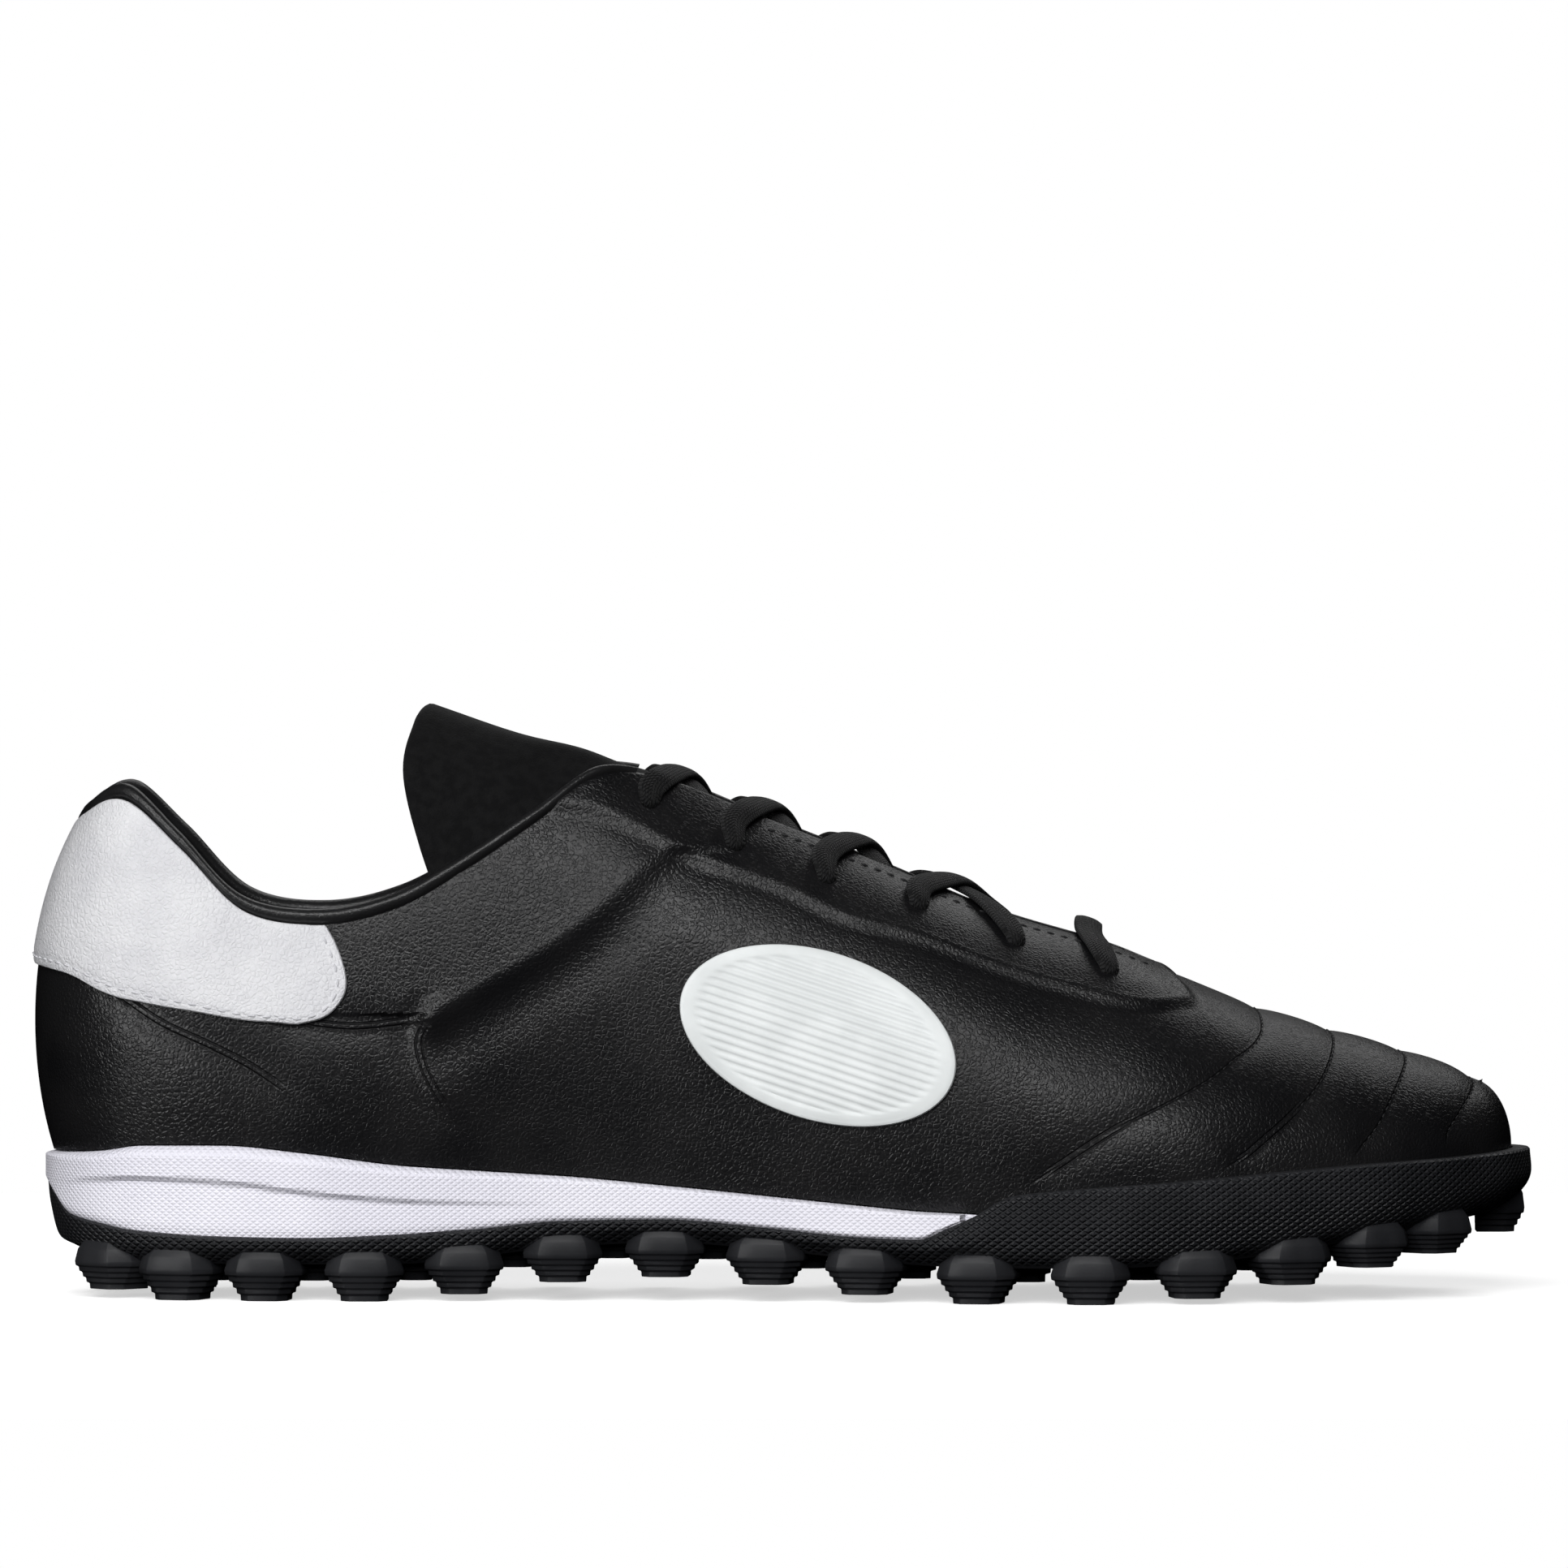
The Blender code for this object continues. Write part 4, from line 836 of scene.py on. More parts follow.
def fabric_finish(name, dark, light, rough, scale):
    made, tree, shader, spot = toned(name, dark, light, 500.0, rough, 0.15, sheen=0.03)
    bump(tree, shader, [(cells(tree, spot, scale), 0.00012, 0.6),
                        (noise(tree, spot, scale * 2.2, 3.0), 0.00006, 0.7)])
    return made


def thread_finish(name, colour):
    made, tree, shader, spot = toned(name, tuple(c * 0.85 for c in colour), colour, 900.0, 0.6, 0.4)
    bump(tree, shader, [(noise(tree, spot, 5000.0, 2.0), 0.00005, 0.8)])
    return made


LEATHER = leather_finish()
LINING = lining_finish()
PIPING = smooth_leather_finish()
WHITE_LEATHER = white_leather_finish()
OVAL = oval_finish()
FOAM = foam_finish()
RUBBER = rubber_finish()
# Lace tones: the darker one is painted shade in the braid's grooves, the lighter one is the rib tops.
LACE = weave_finish("lace_black", (0.0025, 0.0025, 0.0028), (0.0085, 0.0085, 0.0090), 0.66)
FABRIC = fabric_finish("fabric_black", (0.0045, 0.0045, 0.0048), (0.0070, 0.0070, 0.0073), 0.92, 2600.0)
INSOLE = fabric_finish("insole_grey", (0.045, 0.045, 0.05), (0.07, 0.07, 0.075), 0.85, 1200.0)
THREAD_WHITE = thread_finish("thread_white", (0.62, 0.62, 0.65))
THREAD_BLACK = thread_finish("thread_black", (0.016, 0.016, 0.017))


# Upper

def eyestay_points(side):
    """Stations and v of the eyestay's outer edge, from the collar to the middle of the vamp."""
    middle = located(side, EYESTAY_MM)
    return np.concatenate([[(middle[0, 0] - 0.35, 1.0)], middle, [(middle[-1, 0] + 0.12, 1.0)]])


def quilt_start(number):
    """Station of a quilting line on the crest of the toe."""
    crest = ROWS[THROAT_FRONT:, 3] / LENGTH
    return float(np.interp(QUILT_TOP[number], crest, np.arange(THROAT_FRONT, LAST + 1)))


def quilt_half(side, number):
    """Stations and v of a quilting line from the crest down one side."""
    return np.concatenate([[(quilt_start(number), 1.0)], located(side, QUILT_MM[number])])


def quilt_line(number):
    """One quilting line across the toe, from the outer side over the top to the inner side."""
    outer, inner = (fine_line(side, quilt_half(side, number), 50) for side in (LATERAL, MEDIAL))
    return np.concatenate([outer[::-1], inner[1:]])


def make_dark_stitches():
    """Threads beside the throat and in the quilting lines."""
    parts = []
    s = np.linspace(10.25, THROAT_FRONT - 0.25, 160)
    for side in (LATERAL, MEDIAL):
        v = np.interp(s, (10, 13, 14, 14.75), (0.945, 0.935, 0.915, 0.89))
        path = skin(side, s, v, np.full_like(s, EYESTAY_STEP + THREAD_PROUD))
        parts += stitches(path, upper_normal(side, s, v), *THROAT_STITCH)
        for number, depth in enumerate(QUILT_DEPTH):
            sv = quilt_half(side, number)
            sv = smooth(sv, np.linspace(0, len(sv) - (2.2 if number < QUILT_TWINS else 1.0), 120))
            v_in = np.clip(sv[:, 1], 0, 0.999)
            path = skin(side, sv[:, 0], v_in, np.full(len(sv), QUILT_THREAD_PROUD - depth))
            parts += stitches(path, upper_normal(side, sv[:, 0], v_in), *QUILT_STITCH)
    points, faces = joined(parts)
    piece("dark_stitches", points, faces, THREAD_BLACK, angle=60.0, turn=False)


def bulge(distance, centre, width):
    return np.exp(-((distance - centre) / width) ** 2)


def path_length(path):
    return np.linalg.norm(np.diff(path, axis=0), axis=1).sum()


def draw_line(marks, name, gap, hand, share, where=True):
    """Keep the distance to a line in millimetres near it, and how strongly the line shows."""
    closer = (gap < LINE_REACH) & where
    window = 1 - ease(gap, LINE_REACH * 0.6, LINE_REACH * 0.9)
    marks[name] = np.where(closer, gap * hand * 1000, marks[name])
    marks[name + "_share"] = np.where(closer, share * window, marks[name + "_share"])


def panel_edge(side, s, v, flat, normals):
    """The eyestay, a raised panel with a soft edge."""
    edge = eyestay_points(side)
    gap, _, _ = near_line(flat, normals, fine_line(side, edge, 90))
    fine = smooth(edge, np.linspace(0, len(edge) - 1, 300))
    above = (v > np.interp(s, fine[:, 0], fine[:, 1])) & (s > edge[0, 0]) & (s < edge[-1, 0])
    signed = np.where(above, gap, -gap)
    lip = PANEL_LIP * bulge(signed, 0.0012, 0.0010) - PANEL_DITCH * bulge(signed, -0.0014, 0.0012)
    return EYESTAY_STEP * ease(signed, *PANEL_BLEND) + lip


def quilting(flat, normals, marks):
    """Troughs across the toe; the first two end as a rib between two grooves."""
    lift = np.zeros(len(flat))
    for number, depth in enumerate(QUILT_DEPTH):
        path = quilt_line(number)
        gap, place, hand = near_line(flat, normals, path)
        end = np.minimum(place, path_length(path) - place)
        fade = ease(end, -0.001, 0.006)
        twin = ease(end, 0.003, 0.007) * (1 - ease(end, 0.018, 0.026)) * (number < QUILT_TWINS)
        draw_line(marks, "line", gap, hand, fade * (1 - twin))
        draw_line(marks, "rib", gap, hand, twin)
        lift += QUILT_RIB * bulge(gap, 0.0, 0.0006) * twin - depth * np.exp(-gap / QUILT_WIDTH) * fade
    return lift


def heel_seams(side, flat, normals, marks):
    """Two seams behind the ankle, each a rib between two grooves that runs out in one line."""
    lift = np.zeros(len(flat))
    for line_mm, start, stop in ((SEAM_HEEL_MM, 0.62, 0.72), (SEAM_ANKLE_MM, 0.97, 1.0)):
        path = fine_line(side, located(side, line_mm), 50)
        gap, place, hand = near_line(flat, normals, path)
        share = place / path_length(path)
        twin = 1 - ease(share, start, stop)
        tail = ease(share, start, stop) * (1 - ease(share, 0.85, 1.0))
        draw_line(marks, "rib", gap, hand, twin)
        lift += SEAM_RIB * bulge(gap, 0.0, 0.0007) * twin + SEAM_TAIL * bulge(gap, 0.0, 0.0008) * tail
        lift -= SEAM_TROUGH * bulge(gap, 0.0, 0.0035) * (1 - ease(share, 0.6, 1.0))
    return lift


def ankle_fold(side, flat, normals, marks):
    """Fold that drops from the ankle, sunk behind and full in front."""
    path = fine_line(side, located(side, SEAM_DROP_MM), 50)
    gap, place, hand = near_line(flat, normals, path)
    share = place / path_length(path)
    fade = 1 - ease(share, 0.65, 1.0)
    behind = flat[:, 0] < np.interp(flat[:, 2], path[::-1, 2], path[::-1, 0])
    draw_line(marks, "rib", gap, hand, fade * ease(share, 0.02, 0.15), share > 0.02)
    beside = np.where(behind, -FOLD_TROUGH * bulge(gap, 0.0030, 0.0022),
                      FOLD_FULL * bulge(gap, 0.0026, 0.0026))
    return (FOLD_CREST * bulge(gap, 0.0, 0.0014) + beside) * fade


def ankle_ridge(side, flat, normals):
    """Ridge from the ankle to the eyestay, broad above and steep below."""
    path = fine_line(side, located(side, RIDGE_MM), 60)
    gap, place, _ = near_line(flat, normals, path)
    fade = 1 - 0.35 * place / path_length(path)
    above = flat[:, 2] > np.interp(flat[:, 0], path[:, 0], path[:, 2])
    below = RIDGE_LIFT * bulge(gap, 0.0, 0.0030) - RIDGE_TROUGH * bulge(gap, 0.0070, 0.0050)
    return np.where(above, RIDGE_LIFT * np.exp(-gap / RIDGE_WIDTH), below) * fade


def relief(side, s, v, points, normals):
    """Lift of the upper's surface, and the lines drawn on its leather."""
    flat, across = points.reshape(-1, 3), normals.reshape(-1, 3)
    marks = {key: np.full(len(flat), start) for key, start in NO_MARKS.items()}
    lift = panel_edge(side, s.reshape(-1), v.reshape(-1), flat, across)
    lift = lift + quilting(flat, across, marks)
    lift = lift + heel_seams(side, flat, across, marks)
    lift = lift + ankle_fold(side, flat, across, marks)
    lift = lift + ankle_ridge(side, flat, across)
    return lift.reshape(s.shape), {key: value.reshape(s.shape) for key, value in marks.items()}


def upper_stations():
    """Stations of the fine mesh, closer round the throat's end and at the toe."""
    parts = [np.linspace(0, 5, 62), np.linspace(5, 13.9, 100)]
    parts.append(THROAT_FRONT - 1 + np.sin(np.linspace(0, math.pi / 2, 17)))
    parts.append(np.linspace(THROAT_FRONT, LAST, 112))
    return np.unique(np.concatenate(parts))


def shared_normals(shell, layer, front):
    """Both sides take one normal where they meet: at the heel, at the toe and on the crest."""
    both = unit(shell[layer, LATERAL][3] + shell[layer, MEDIAL][3])
    for side in (LATERAL, MEDIAL):
        s, v, base, normal = shell[layer, side]
        normal = normal.copy()
        normal[0], normal[-1] = both[0], both[-1]
        normal[front:, -1] = both[front:, -1]
        shell[layer, side] = (s, v, base, normal)


def top_loop(lateral, medial, front):
    """The opening's top line from the heel along the outer side and back along the inner."""
    return np.concatenate([lateral[:front + 1, -1], medial[front - 1:0:-1, -1]])


def make_upper():
    stations = upper_stations()
    front = int(np.searchsorted(stations, THROAT_FRONT))
    shell, lifts, marks, numbers = {}, {}, {}, {}
    for layer, rows in (("outer", np.linspace(0, 1, 128)), ("inner", np.linspace(0, 1, 22))):
        for side in (LATERAL, MEDIAL):
            s, v = np.meshgrid(stations, rows, indexing="ij")
            shell[layer, side] = (s, v, upper_at(side, s, v), upper_normal(side, s, v))
        shared_normals(shell, layer, front)
    for side in (LATERAL, MEDIAL):
        lifts["outer", side], marks["outer", side] = relief(side, *shell["outer", side])
        size = shell["inner", side][0].shape
        lifts["inner", side] = np.full(size, -UPPER_WALL)
        marks["inner", side] = {key: np.full(size, start) for key, start in NO_MARKS.items()}
    for line in (np.s_[0, :], np.s_[-1, :], np.s_[front:, -1]):
        mean = (lifts["outer", LATERAL][line] + lifts["outer", MEDIAL][line]) / 2
        for side in (LATERAL, MEDIAL):
            lifts["outer", side][line] = mean
    points, faces, inside = [], [], []
    kept = {key: [] for key in NO_MARKS}
    start = 0
    for layer in ("outer", "inner"):
        for side in (LATERAL, MEDIAL):
            s, _, base, normal = shell[layer, side]
            made = base + normal * lifts[layer, side][..., None]
            made[:, 0, 2] = base[:, 0, 2]
            numbers[layer, side] = start + np.arange(s.size).reshape(s.shape)
            start += s.size
            points.append(made.reshape(-1, 3))
            faces.append(quads(numbers[layer, side]))
            inside += [int(layer == "inner")] * len(faces[-1])
            for key in kept:
                kept[key].append(marks[layer, side][key].reshape(-1))
    for side in (LATERAL, MEDIAL):
        faces.append(quads(np.stack([numbers["outer", side][:, 0], numbers["inner", side][:, 0]])))
        inside += [1] * len(faces[-1])

    # Rounded rim along the collar and the throat
    base, normal = (top_loop(shell["outer", LATERAL][k], shell["outer", MEDIAL][k], front) for k in (2, 3))
    lift = top_loop(lifts["outer", LATERAL], lifts["outer", MEDIAL], front)[:, None]
    tangent = unit(np.roll(base, -1, 0) - np.roll(base, 1, 0))
    out = unit(np.cross(tangent, normal))
    if np.sum(out[:, 2]) < 0:
        out = -out
    radius = (lift + UPPER_WALL) / 2
    loops = [top_loop(numbers["outer", LATERAL], numbers["outer", MEDIAL], front)]
    for k in range(1, RIM_TURNS):
        angle = math.pi * k / RIM_TURNS
        up = (lift - UPPER_WALL) / 2 + radius * math.cos(angle)
        points.append(base + normal * up + out * radius * RIM_FLATNESS * math.sin(angle))
        loops.append(start + np.arange(len(base)))
        start += len(base)
        for key, value in NO_MARKS.items():
            kept[key].append(np.full(len(base), value))
    loops.append(top_loop(numbers["inner", LATERAL], numbers["inner", MEDIAL], front))
    faces.append(strips(loops))
    inside += [0] * len(faces[-1])
    return piece("upper_shell", np.concatenate(points), np.concatenate(faces), (LEATHER, LINING),
                 ("upper",), {key: np.concatenate(kept[key]) for key in kept},
                 second=inside)


def eyelet_places():
    """Station and v of each lace hole."""
    x, z = np.array(EYELETS).T
    return list(zip(*locate(LATERAL, x * LENGTH, z * INSTEP_HEIGHT)))


HOLES = eyelet_places()


def punch_eyelets(upper):
    """Cut the round lace holes through the wall."""
    points, faces = [], []
    angles = np.arange(PIN_SIDES) * 2 * math.pi / PIN_SIDES
    for s, v in HOLES:
        for side in (LATERAL, MEDIAL):
            centre, normal = upper_at(side, s, v) + SHIFT, upper_normal(side, s, v)
            across = unit(np.cross(normal, (1.0, 0.0, 0.0)))
            along = np.cross(normal, across)
            spokes = np.cos(angles)[:, None] * across + np.sin(angles)[:, None] * along
            circle = centre + spokes * EYELET_DIAMETER / 2
            first = len(points)
            points += (circle - normal * PIN_DEPTH).tolist() + (circle + normal * PIN_HEIGHT).tolist()
            loops = first + np.arange(2 * PIN_SIDES).reshape(2, PIN_SIDES)
            faces += strips(loops).tolist() + [loops[0, ::-1].tolist(), loops[1].tolist()]
    mesh = bpy.data.meshes.new("pins")
    mesh.from_pydata(points, [], faces)
    turn_outward(mesh)
    pins = bpy.data.objects.new("pins", mesh)
    bpy.context.scene.collection.objects.link(pins)
    step = upper.modifiers.new("holes", "BOOLEAN")
    step.operation = "DIFFERENCE"
    step.solver = "MANIFOLD"
    step.object = pins
    bpy.context.view_layer.update()
    result = bpy.data.meshes.new_from_object(upper.evaluated_get(bpy.context.evaluated_depsgraph_get()))
    upper.modifiers.clear()
    upper.data = result
    upper.data.shade_smooth()
    upper.data.set_sharp_from_angle(angle=math.radians(40.0))
    bpy.data.objects.remove(pins, do_unlink=True)


# Overlays

def patch(side, count_s, count_v):
    """Stations and v over the heel tab on one side, a smooth patch between its four edges."""
    low = located(side, TAB_LOW_MM)
    low[0, 0] = 0.0
    front = located(side, TAB_FRONT_MM)
    top_s = front[-1, 0] - 0.10
    front = np.concatenate([front, [(top_s, TAB_TOP)]])
    g = np.linspace(0, 1, count_s)
    h = np.linspace(0, 1, count_v)
    bottom = smooth(low, g * (len(low) - 1))
    right = smooth(front, h * (len(front) - 1))
    top = np.stack([top_s * g, np.full_like(g, TAB_TOP)], -1)
    left = np.stack([np.zeros_like(h), mix(low[0, 1], TAB_TOP, h)], -1)
    g, h = g[:, None, None], h[None, :, None]
    sides = mix(left[None], right[None], g) + mix(bottom[:, None], top[:, None], h)
    corners = mix(mix(left[0], right[0], g), mix(left[-1], right[-1], g), h)
    made = sides - corners
    return made[..., 0], made[..., 1]


def make_heel_cover():
    halves = []
    for side in (LATERAL, MEDIAL):
        s, v = patch(side, 90, 56)
        s = np.clip(s, 0.0, LAST)
        halves.append((upper_at(side, s, v), upper_normal(side, s, v)))
    points, normals = (np.concatenate([halves[0][k][::-1], halves[1][k][1:]]) for k in (0, 1))
    normals[len(halves[0][0]) - 1] = unit(halves[0][1][0] + halves[1][1][0])
    rows, columns = points.shape[:2]
    i, j = np.meshgrid(np.arange(rows), np.arange(columns), indexing="ij")
    end = np.minimum(i, rows - 1 - i)
    top = GAP + HEEL_TAB_THICKNESS * (0.78 + 0.22 * ease(np.minimum(end * 0.7, j * 0.9), 0, 2.5))
    top = top - TAB_DITCH * bulge(np.minimum(end * 0.62, j * 0.78), 1.7, 0.7)
    points, faces, _ = slab(points, normals, top, np.full(top.shape, -OVERLAY_SINK))
    piece("heel_cover", points, faces, WHITE_LEATHER, ("heel_tab",))
    parts = []
    for side in (LATERAL, MEDIAL):
        s, v = patch(side, 200, 120)
        inset_j, inset_i = 4, 3
        line_s = np.concatenate([s[:-inset_i, inset_j], s[-inset_i - 1, inset_j:-4]])
        line_v = np.concatenate([v[:-inset_i, inset_j], v[-inset_i - 1, inset_j:-4]])
        path = skin(side, line_s, line_v, np.full(line_s.shape, GAP + HEEL_TAB_THICKNESS - TAB_THREAD_SINK))
        parts += stitches(path, upper_normal(side, line_s, line_v), *TAB_STITCH)
    points, faces = joined(parts)
    piece("heel_stitches", points, faces, THREAD_WHITE, angle=60.0)


def make_oval(name, node_name, side):
    """Plain ribbed oval with a smooth rim."""
    a, b = np.meshgrid(np.linspace(-1, 1, 72), np.linspace(-1, 1, 150), indexing="ij")
    disc_a = a * np.sqrt(1 - b * b / 2)
    disc_b = b * np.sqrt(1 - a * a / 2)
    radius = np.sqrt(disc_a ** 2 + disc_b ** 2)
    scale = 1 - MARK_THICKNESS / 2 / MARK_HALF_HEIGHT
    x = disc_a * MARK_HALF_LENGTH * scale
    z = disc_b * MARK_HALF_HEIGHT * scale
    world_x = MARK_CENTRE[0] * LENGTH + x * math.cos(MARK_TILT) - z * math.sin(MARK_TILT)
    world_z = MARK_CENTRE[1] * INSTEP_HEIGHT + x * math.sin(MARK_TILT) + z * math.cos(MARK_TILT)
    s, v = locate(side, world_x, world_z)
    points, normals = upper_at(side, s, v), upper_normal(side, s, v)
    inside = 1 - ease(radius, 0.86, 0.92)
    ribs = 0.5 + 0.5 * np.cos(z / MARK_RIB_PITCH * 2 * math.pi)
    top = GAP + MARK_THICKNESS * (0.94 + 0.10 * ease(1 - radius, 0, 0.06))
    top = top - inside * (MARK_FIELD_DEPTH + MARK_RIB_DEPTH * ease(1 - ribs, 0.1, 0.9))
    points, faces, _ = slab(points, normals, top, np.full(top.shape, -OVERLAY_SINK))
    piece(name, points, faces, OVAL, (node_name,))


def make_collar():
    """Padded roll on the edge of the collar."""
    steps = np.linspace(0, PIPING_END, 210)
    run_side = np.concatenate([np.full(len(steps), LATERAL), np.full(len(steps) - 1, MEDIAL)])
    run_s = np.maximum(np.concatenate([steps[::-1], steps[1:]]), 0.001)
    centre = np.empty((len(run_s), 3))
    normal = np.empty_like(centre)
    up = np.empty_like(centre)
    for side in (LATERAL, MEDIAL):
        pick = run_side == side
        s = run_s[pick]
        normal[pick] = upper_normal(side, s, np.ones_like(s))
        up[pick] = unit(upper_at(side, s, np.ones_like(s)) - upper_at(side, s, np.full_like(s, 0.97)))
        centre[pick] = upper_at(side, s, np.ones_like(s))
    middle = len(steps) - 1
    for field in (normal, up):
        for k in range(-3, 4):
            share = abs(k) / 4
            field[middle + k, 1] *= share
        field[:] = unit(field)
    centre = centre - normal * UPPER_WALL / 2 + up * (GAP * 2 + PIPING_HEIGHT / 2 - PIPING_SINK)
    length = np.concatenate([[0], np.cumsum(np.linalg.norm(np.diff(centre, axis=0), axis=1))])
    rng = np.random.default_rng(PIPING_SEED)
    wobble = np.interp(length, np.linspace(0, length[-1], 60), rng.normal(0, 1, 60))
    taper = ease(length, 0, 0.010) * ease(length[-1] - length, 0, 0.010)
    sides = 20
    rings = []
    for k in range(sides):
        angle = 2 * math.pi * (k + 0.5) / sides
        c, sn = math.cos(angle), math.sin(angle)
        wide = (PIPING_WIDTH / 2 + PIPING_WOBBLE * wobble) * mix(0.75, 1.0, taper)
        tall = (PIPING_HEIGHT / 2 + PIPING_FULLNESS) * mix(0.55, 1.0, taper)
        rings.append(centre + normal * (c * wide)[:, None] + up * (sn * tall)[:, None])
    grid = np.stack(rings)
    index = np.arange(grid.shape[0] * grid.shape[1]).reshape(grid.shape[:2])
    faces = [tuple(f) for f in quads(np.concatenate([index, index[:1]]))]
    faces += [tuple(index[:, 0]), tuple(index[::-1, -1])]
    made = piece("collar_roll", grid.reshape(-1, 3), faces, PIPING, ("collar_piping",),
                 angle=60.0)


# Sole

def ring(make, stations):
    """One ring round the shoe from the heel along the outer side and back along the inner."""
    return np.concatenate([make(LATERAL, stations), make(MEDIAL, stations[-2:0:-1])])


def side_run(stations):
    """Length along the sole in millimetres at each point of a ring."""
    path = (outline(LATERAL, stations)[0] + outline(MEDIAL, stations)[0] * (1, -1)) / 2
    run = np.concatenate([[0], np.cumsum(np.linalg.norm(np.diff(path, axis=0), axis=1))]) * 1000
    return np.concatenate([run, run[-2:0:-1]])


def loft(rings, stations):
    """Closed solid between rings, with its two ends closed straight across."""
    count = len(rings[0])
    loops = np.arange(len(rings) * count).reshape(len(rings), count)
    faces = [strips(loops)]
    half = len(stations) - 1
    for base in (0, (len(rings) - 1) * count):
        left = base + np.arange(half + 1)
        right = base + (count - np.arange(half + 1)) % count
        faces.append(quads(np.stack([left, right])))
    return np.concatenate(rings), np.concatenate(faces)


def rim_point(side, s):
    """Inner edge of the rubber wall, just outside the upper."""
    height = sole("rim", station_x(s))
    low, high = np.zeros_like(s), np.full_like(s, 0.9)
    for _ in range(30):
        middle = (low + high) / 2
        below = skin(side, s, middle, np.full_like(s, GAP))[..., 2] < height
        low, high = np.where(below, middle, low), np.where(below, high, middle)
    return skin(side, s, high, np.full_like(s, GAP))


def make_midsole():
    stations = np.unique(np.concatenate([np.linspace(0, 4, 60), np.linspace(4, TIP_STATION, 120),
                                         [TIP_STATION + 0.03], np.linspace(TIP_STATION + 0.2, LAST, 26)]))
    levels = np.concatenate([np.linspace(0, FOAM_SHOULDER, 26), np.linspace(0.88, 1.0, 9)])

    def at(level):
        def make(side, s):
            x = station_x(s)
            bed = sole("bed", x)
            ledge = np.minimum(sole("rim", x) + GAP, bed - 0.0010)
            inner = mix(CUP_LIP_INSET + 2 * GAP, UPPER_INSET_TOE, cup(s))
            if level is None:
                return inset_point(side, s, inner, sole("floor", x) + GAP)
            z = mix(ledge, bed, level)
            groove = sole("groove", x)
            step = MIDSOLE_STEP * (1 - ease(x, GROOVE_END * LENGTH * 0.6, GROOVE_END * LENGTH))
            step = step * ease(x, 0.003, 0.018)
            over = ease((level - groove) * (bed - ledge), -GROOVE_SOFTNESS, GROOVE_SOFTNESS)
            inset = FOAM_INSET + step * mix(*FOAM_STEP_SHARES, over)
            inset = inset + FOAM_FOOT_ROUND * np.maximum(1 - level / 0.12, 0) ** 2
            above = np.maximum((level - FOAM_SHOULDER) / (1 - FOAM_SHOULDER), 0)
            inset = inset + FOAM_TOP_ROUND * above ** 2.4
            return inset_point(side, s, np.where(s <= TIP_STATION, inset, inner), z)
        return make

    rings = [ring(at(None), stations)] + [ring(at(level), stations) for level in levels]
    points, faces = loft(rings, stations)
    run = np.tile(side_run(stations), len(rings))
    flat = np.stack([run, points[:, 2] * 1000, np.zeros(len(points))], -1)
    piece("midsole_foam", points, faces, FOAM, ("midsole",), {"flat": flat})


def stud(centre, along, out, length, depth, root, tip, terraces, cap):
    """One tapered stud with stepped sides and a smooth sloping shoulder above them."""
    shape = np.array([(-1.0, -1.0), (1.0, -1.0), (1.0, 0.3), (0.62, 1.0), (0.2, 1.04), (-0.2, 1.04),
                      (-0.62, 1.0), (-1.0, 0.3)])
    levels = []
    if cap:
        levels.append((root + cap, 0.48, 0.30))
        levels.append((root + cap * 0.86, 0.66, 0.70))
        levels.append((root + cap * 0.45, 0.90, 0.93))
    for k in range(terraces):
        share = 1 - 0.40 * k / max(terraces - 1, 1)
        levels.append((mix(root, tip, k / terraces), share, share))
        levels.append((mix(root, tip, (k + 0.80) / terraces), share * 0.985, share * 0.975))
    levels[-1] = (tip, levels[-1][1], levels[-1][2])
    rings = []
    for z, wide, deep in levels:
        a = shape[:, 0] * wide * length / 2
        b = np.where(shape[:, 1] > 0, shape[:, 1] * deep, shape[:, 1]) * depth / 2
        flat = centre + along * a[:, None] + out * b[:, None]
        rings.append(np.concatenate([flat, np.full((len(shape), 1), z)], 1))
    points = np.concatenate(rings)
    count = len(shape)
    loops = np.arange(len(points)).reshape(-1, count)
    top = np.array([[0, 1, 2, 7], [2, 3, 6, 7], [3, 4, 5, 6]])
    faces = np.concatenate([strips(loops), top, top[:, ::-1] + loops[-1, 0]])
    return points, faces


def bevelled(points, faces, width):
    """The same solid with its edges rounded a little."""
    work = bmesh.new()
    made = [work.verts.new(p) for p in points]
    for face in faces:
        corners = list(dict.fromkeys(int(i) for i in face))
        work.faces.new([made[i] for i in corners])
    bmesh.ops.recalc_face_normals(work, faces=work.faces)
    sharp = [e for e in work.edges if len(e.link_faces) == 2 and e.calc_face_angle() > 0.35]
    bmesh.ops.bevel(work, geom=sharp, offset=width, segments=1, affect="EDGES", clamp_overlap=True)
    work.verts.index_update()
    new_points = np.array([v.co for v in work.verts])
    new_faces = [[v.index for v in f.verts] for f in work.faces]
    work.free()
    return new_points, new_faces


def edge_stud(s, inset, length, depth, side, *rest):
    """A stud at the outline's edge, turned to face straight out."""
    point, out = outline(side, s)
    return stud(point - out * inset, np.array([-out[1], out[0]]), out, length, depth, *rest)


def plain_stud(x, y, way, length, depth, recess, terraces):
    """A stud without a shoulder, under the sole at x and y."""
    root = float(sole("base", x)) + PLAIN_STUD_ROOT
    tip = float(sole("tip", x)) + recess
    return stud(np.array([x, y]), FORWARD, np.array([0.0, way]), length, depth, root, tip, terraces, 0.0)


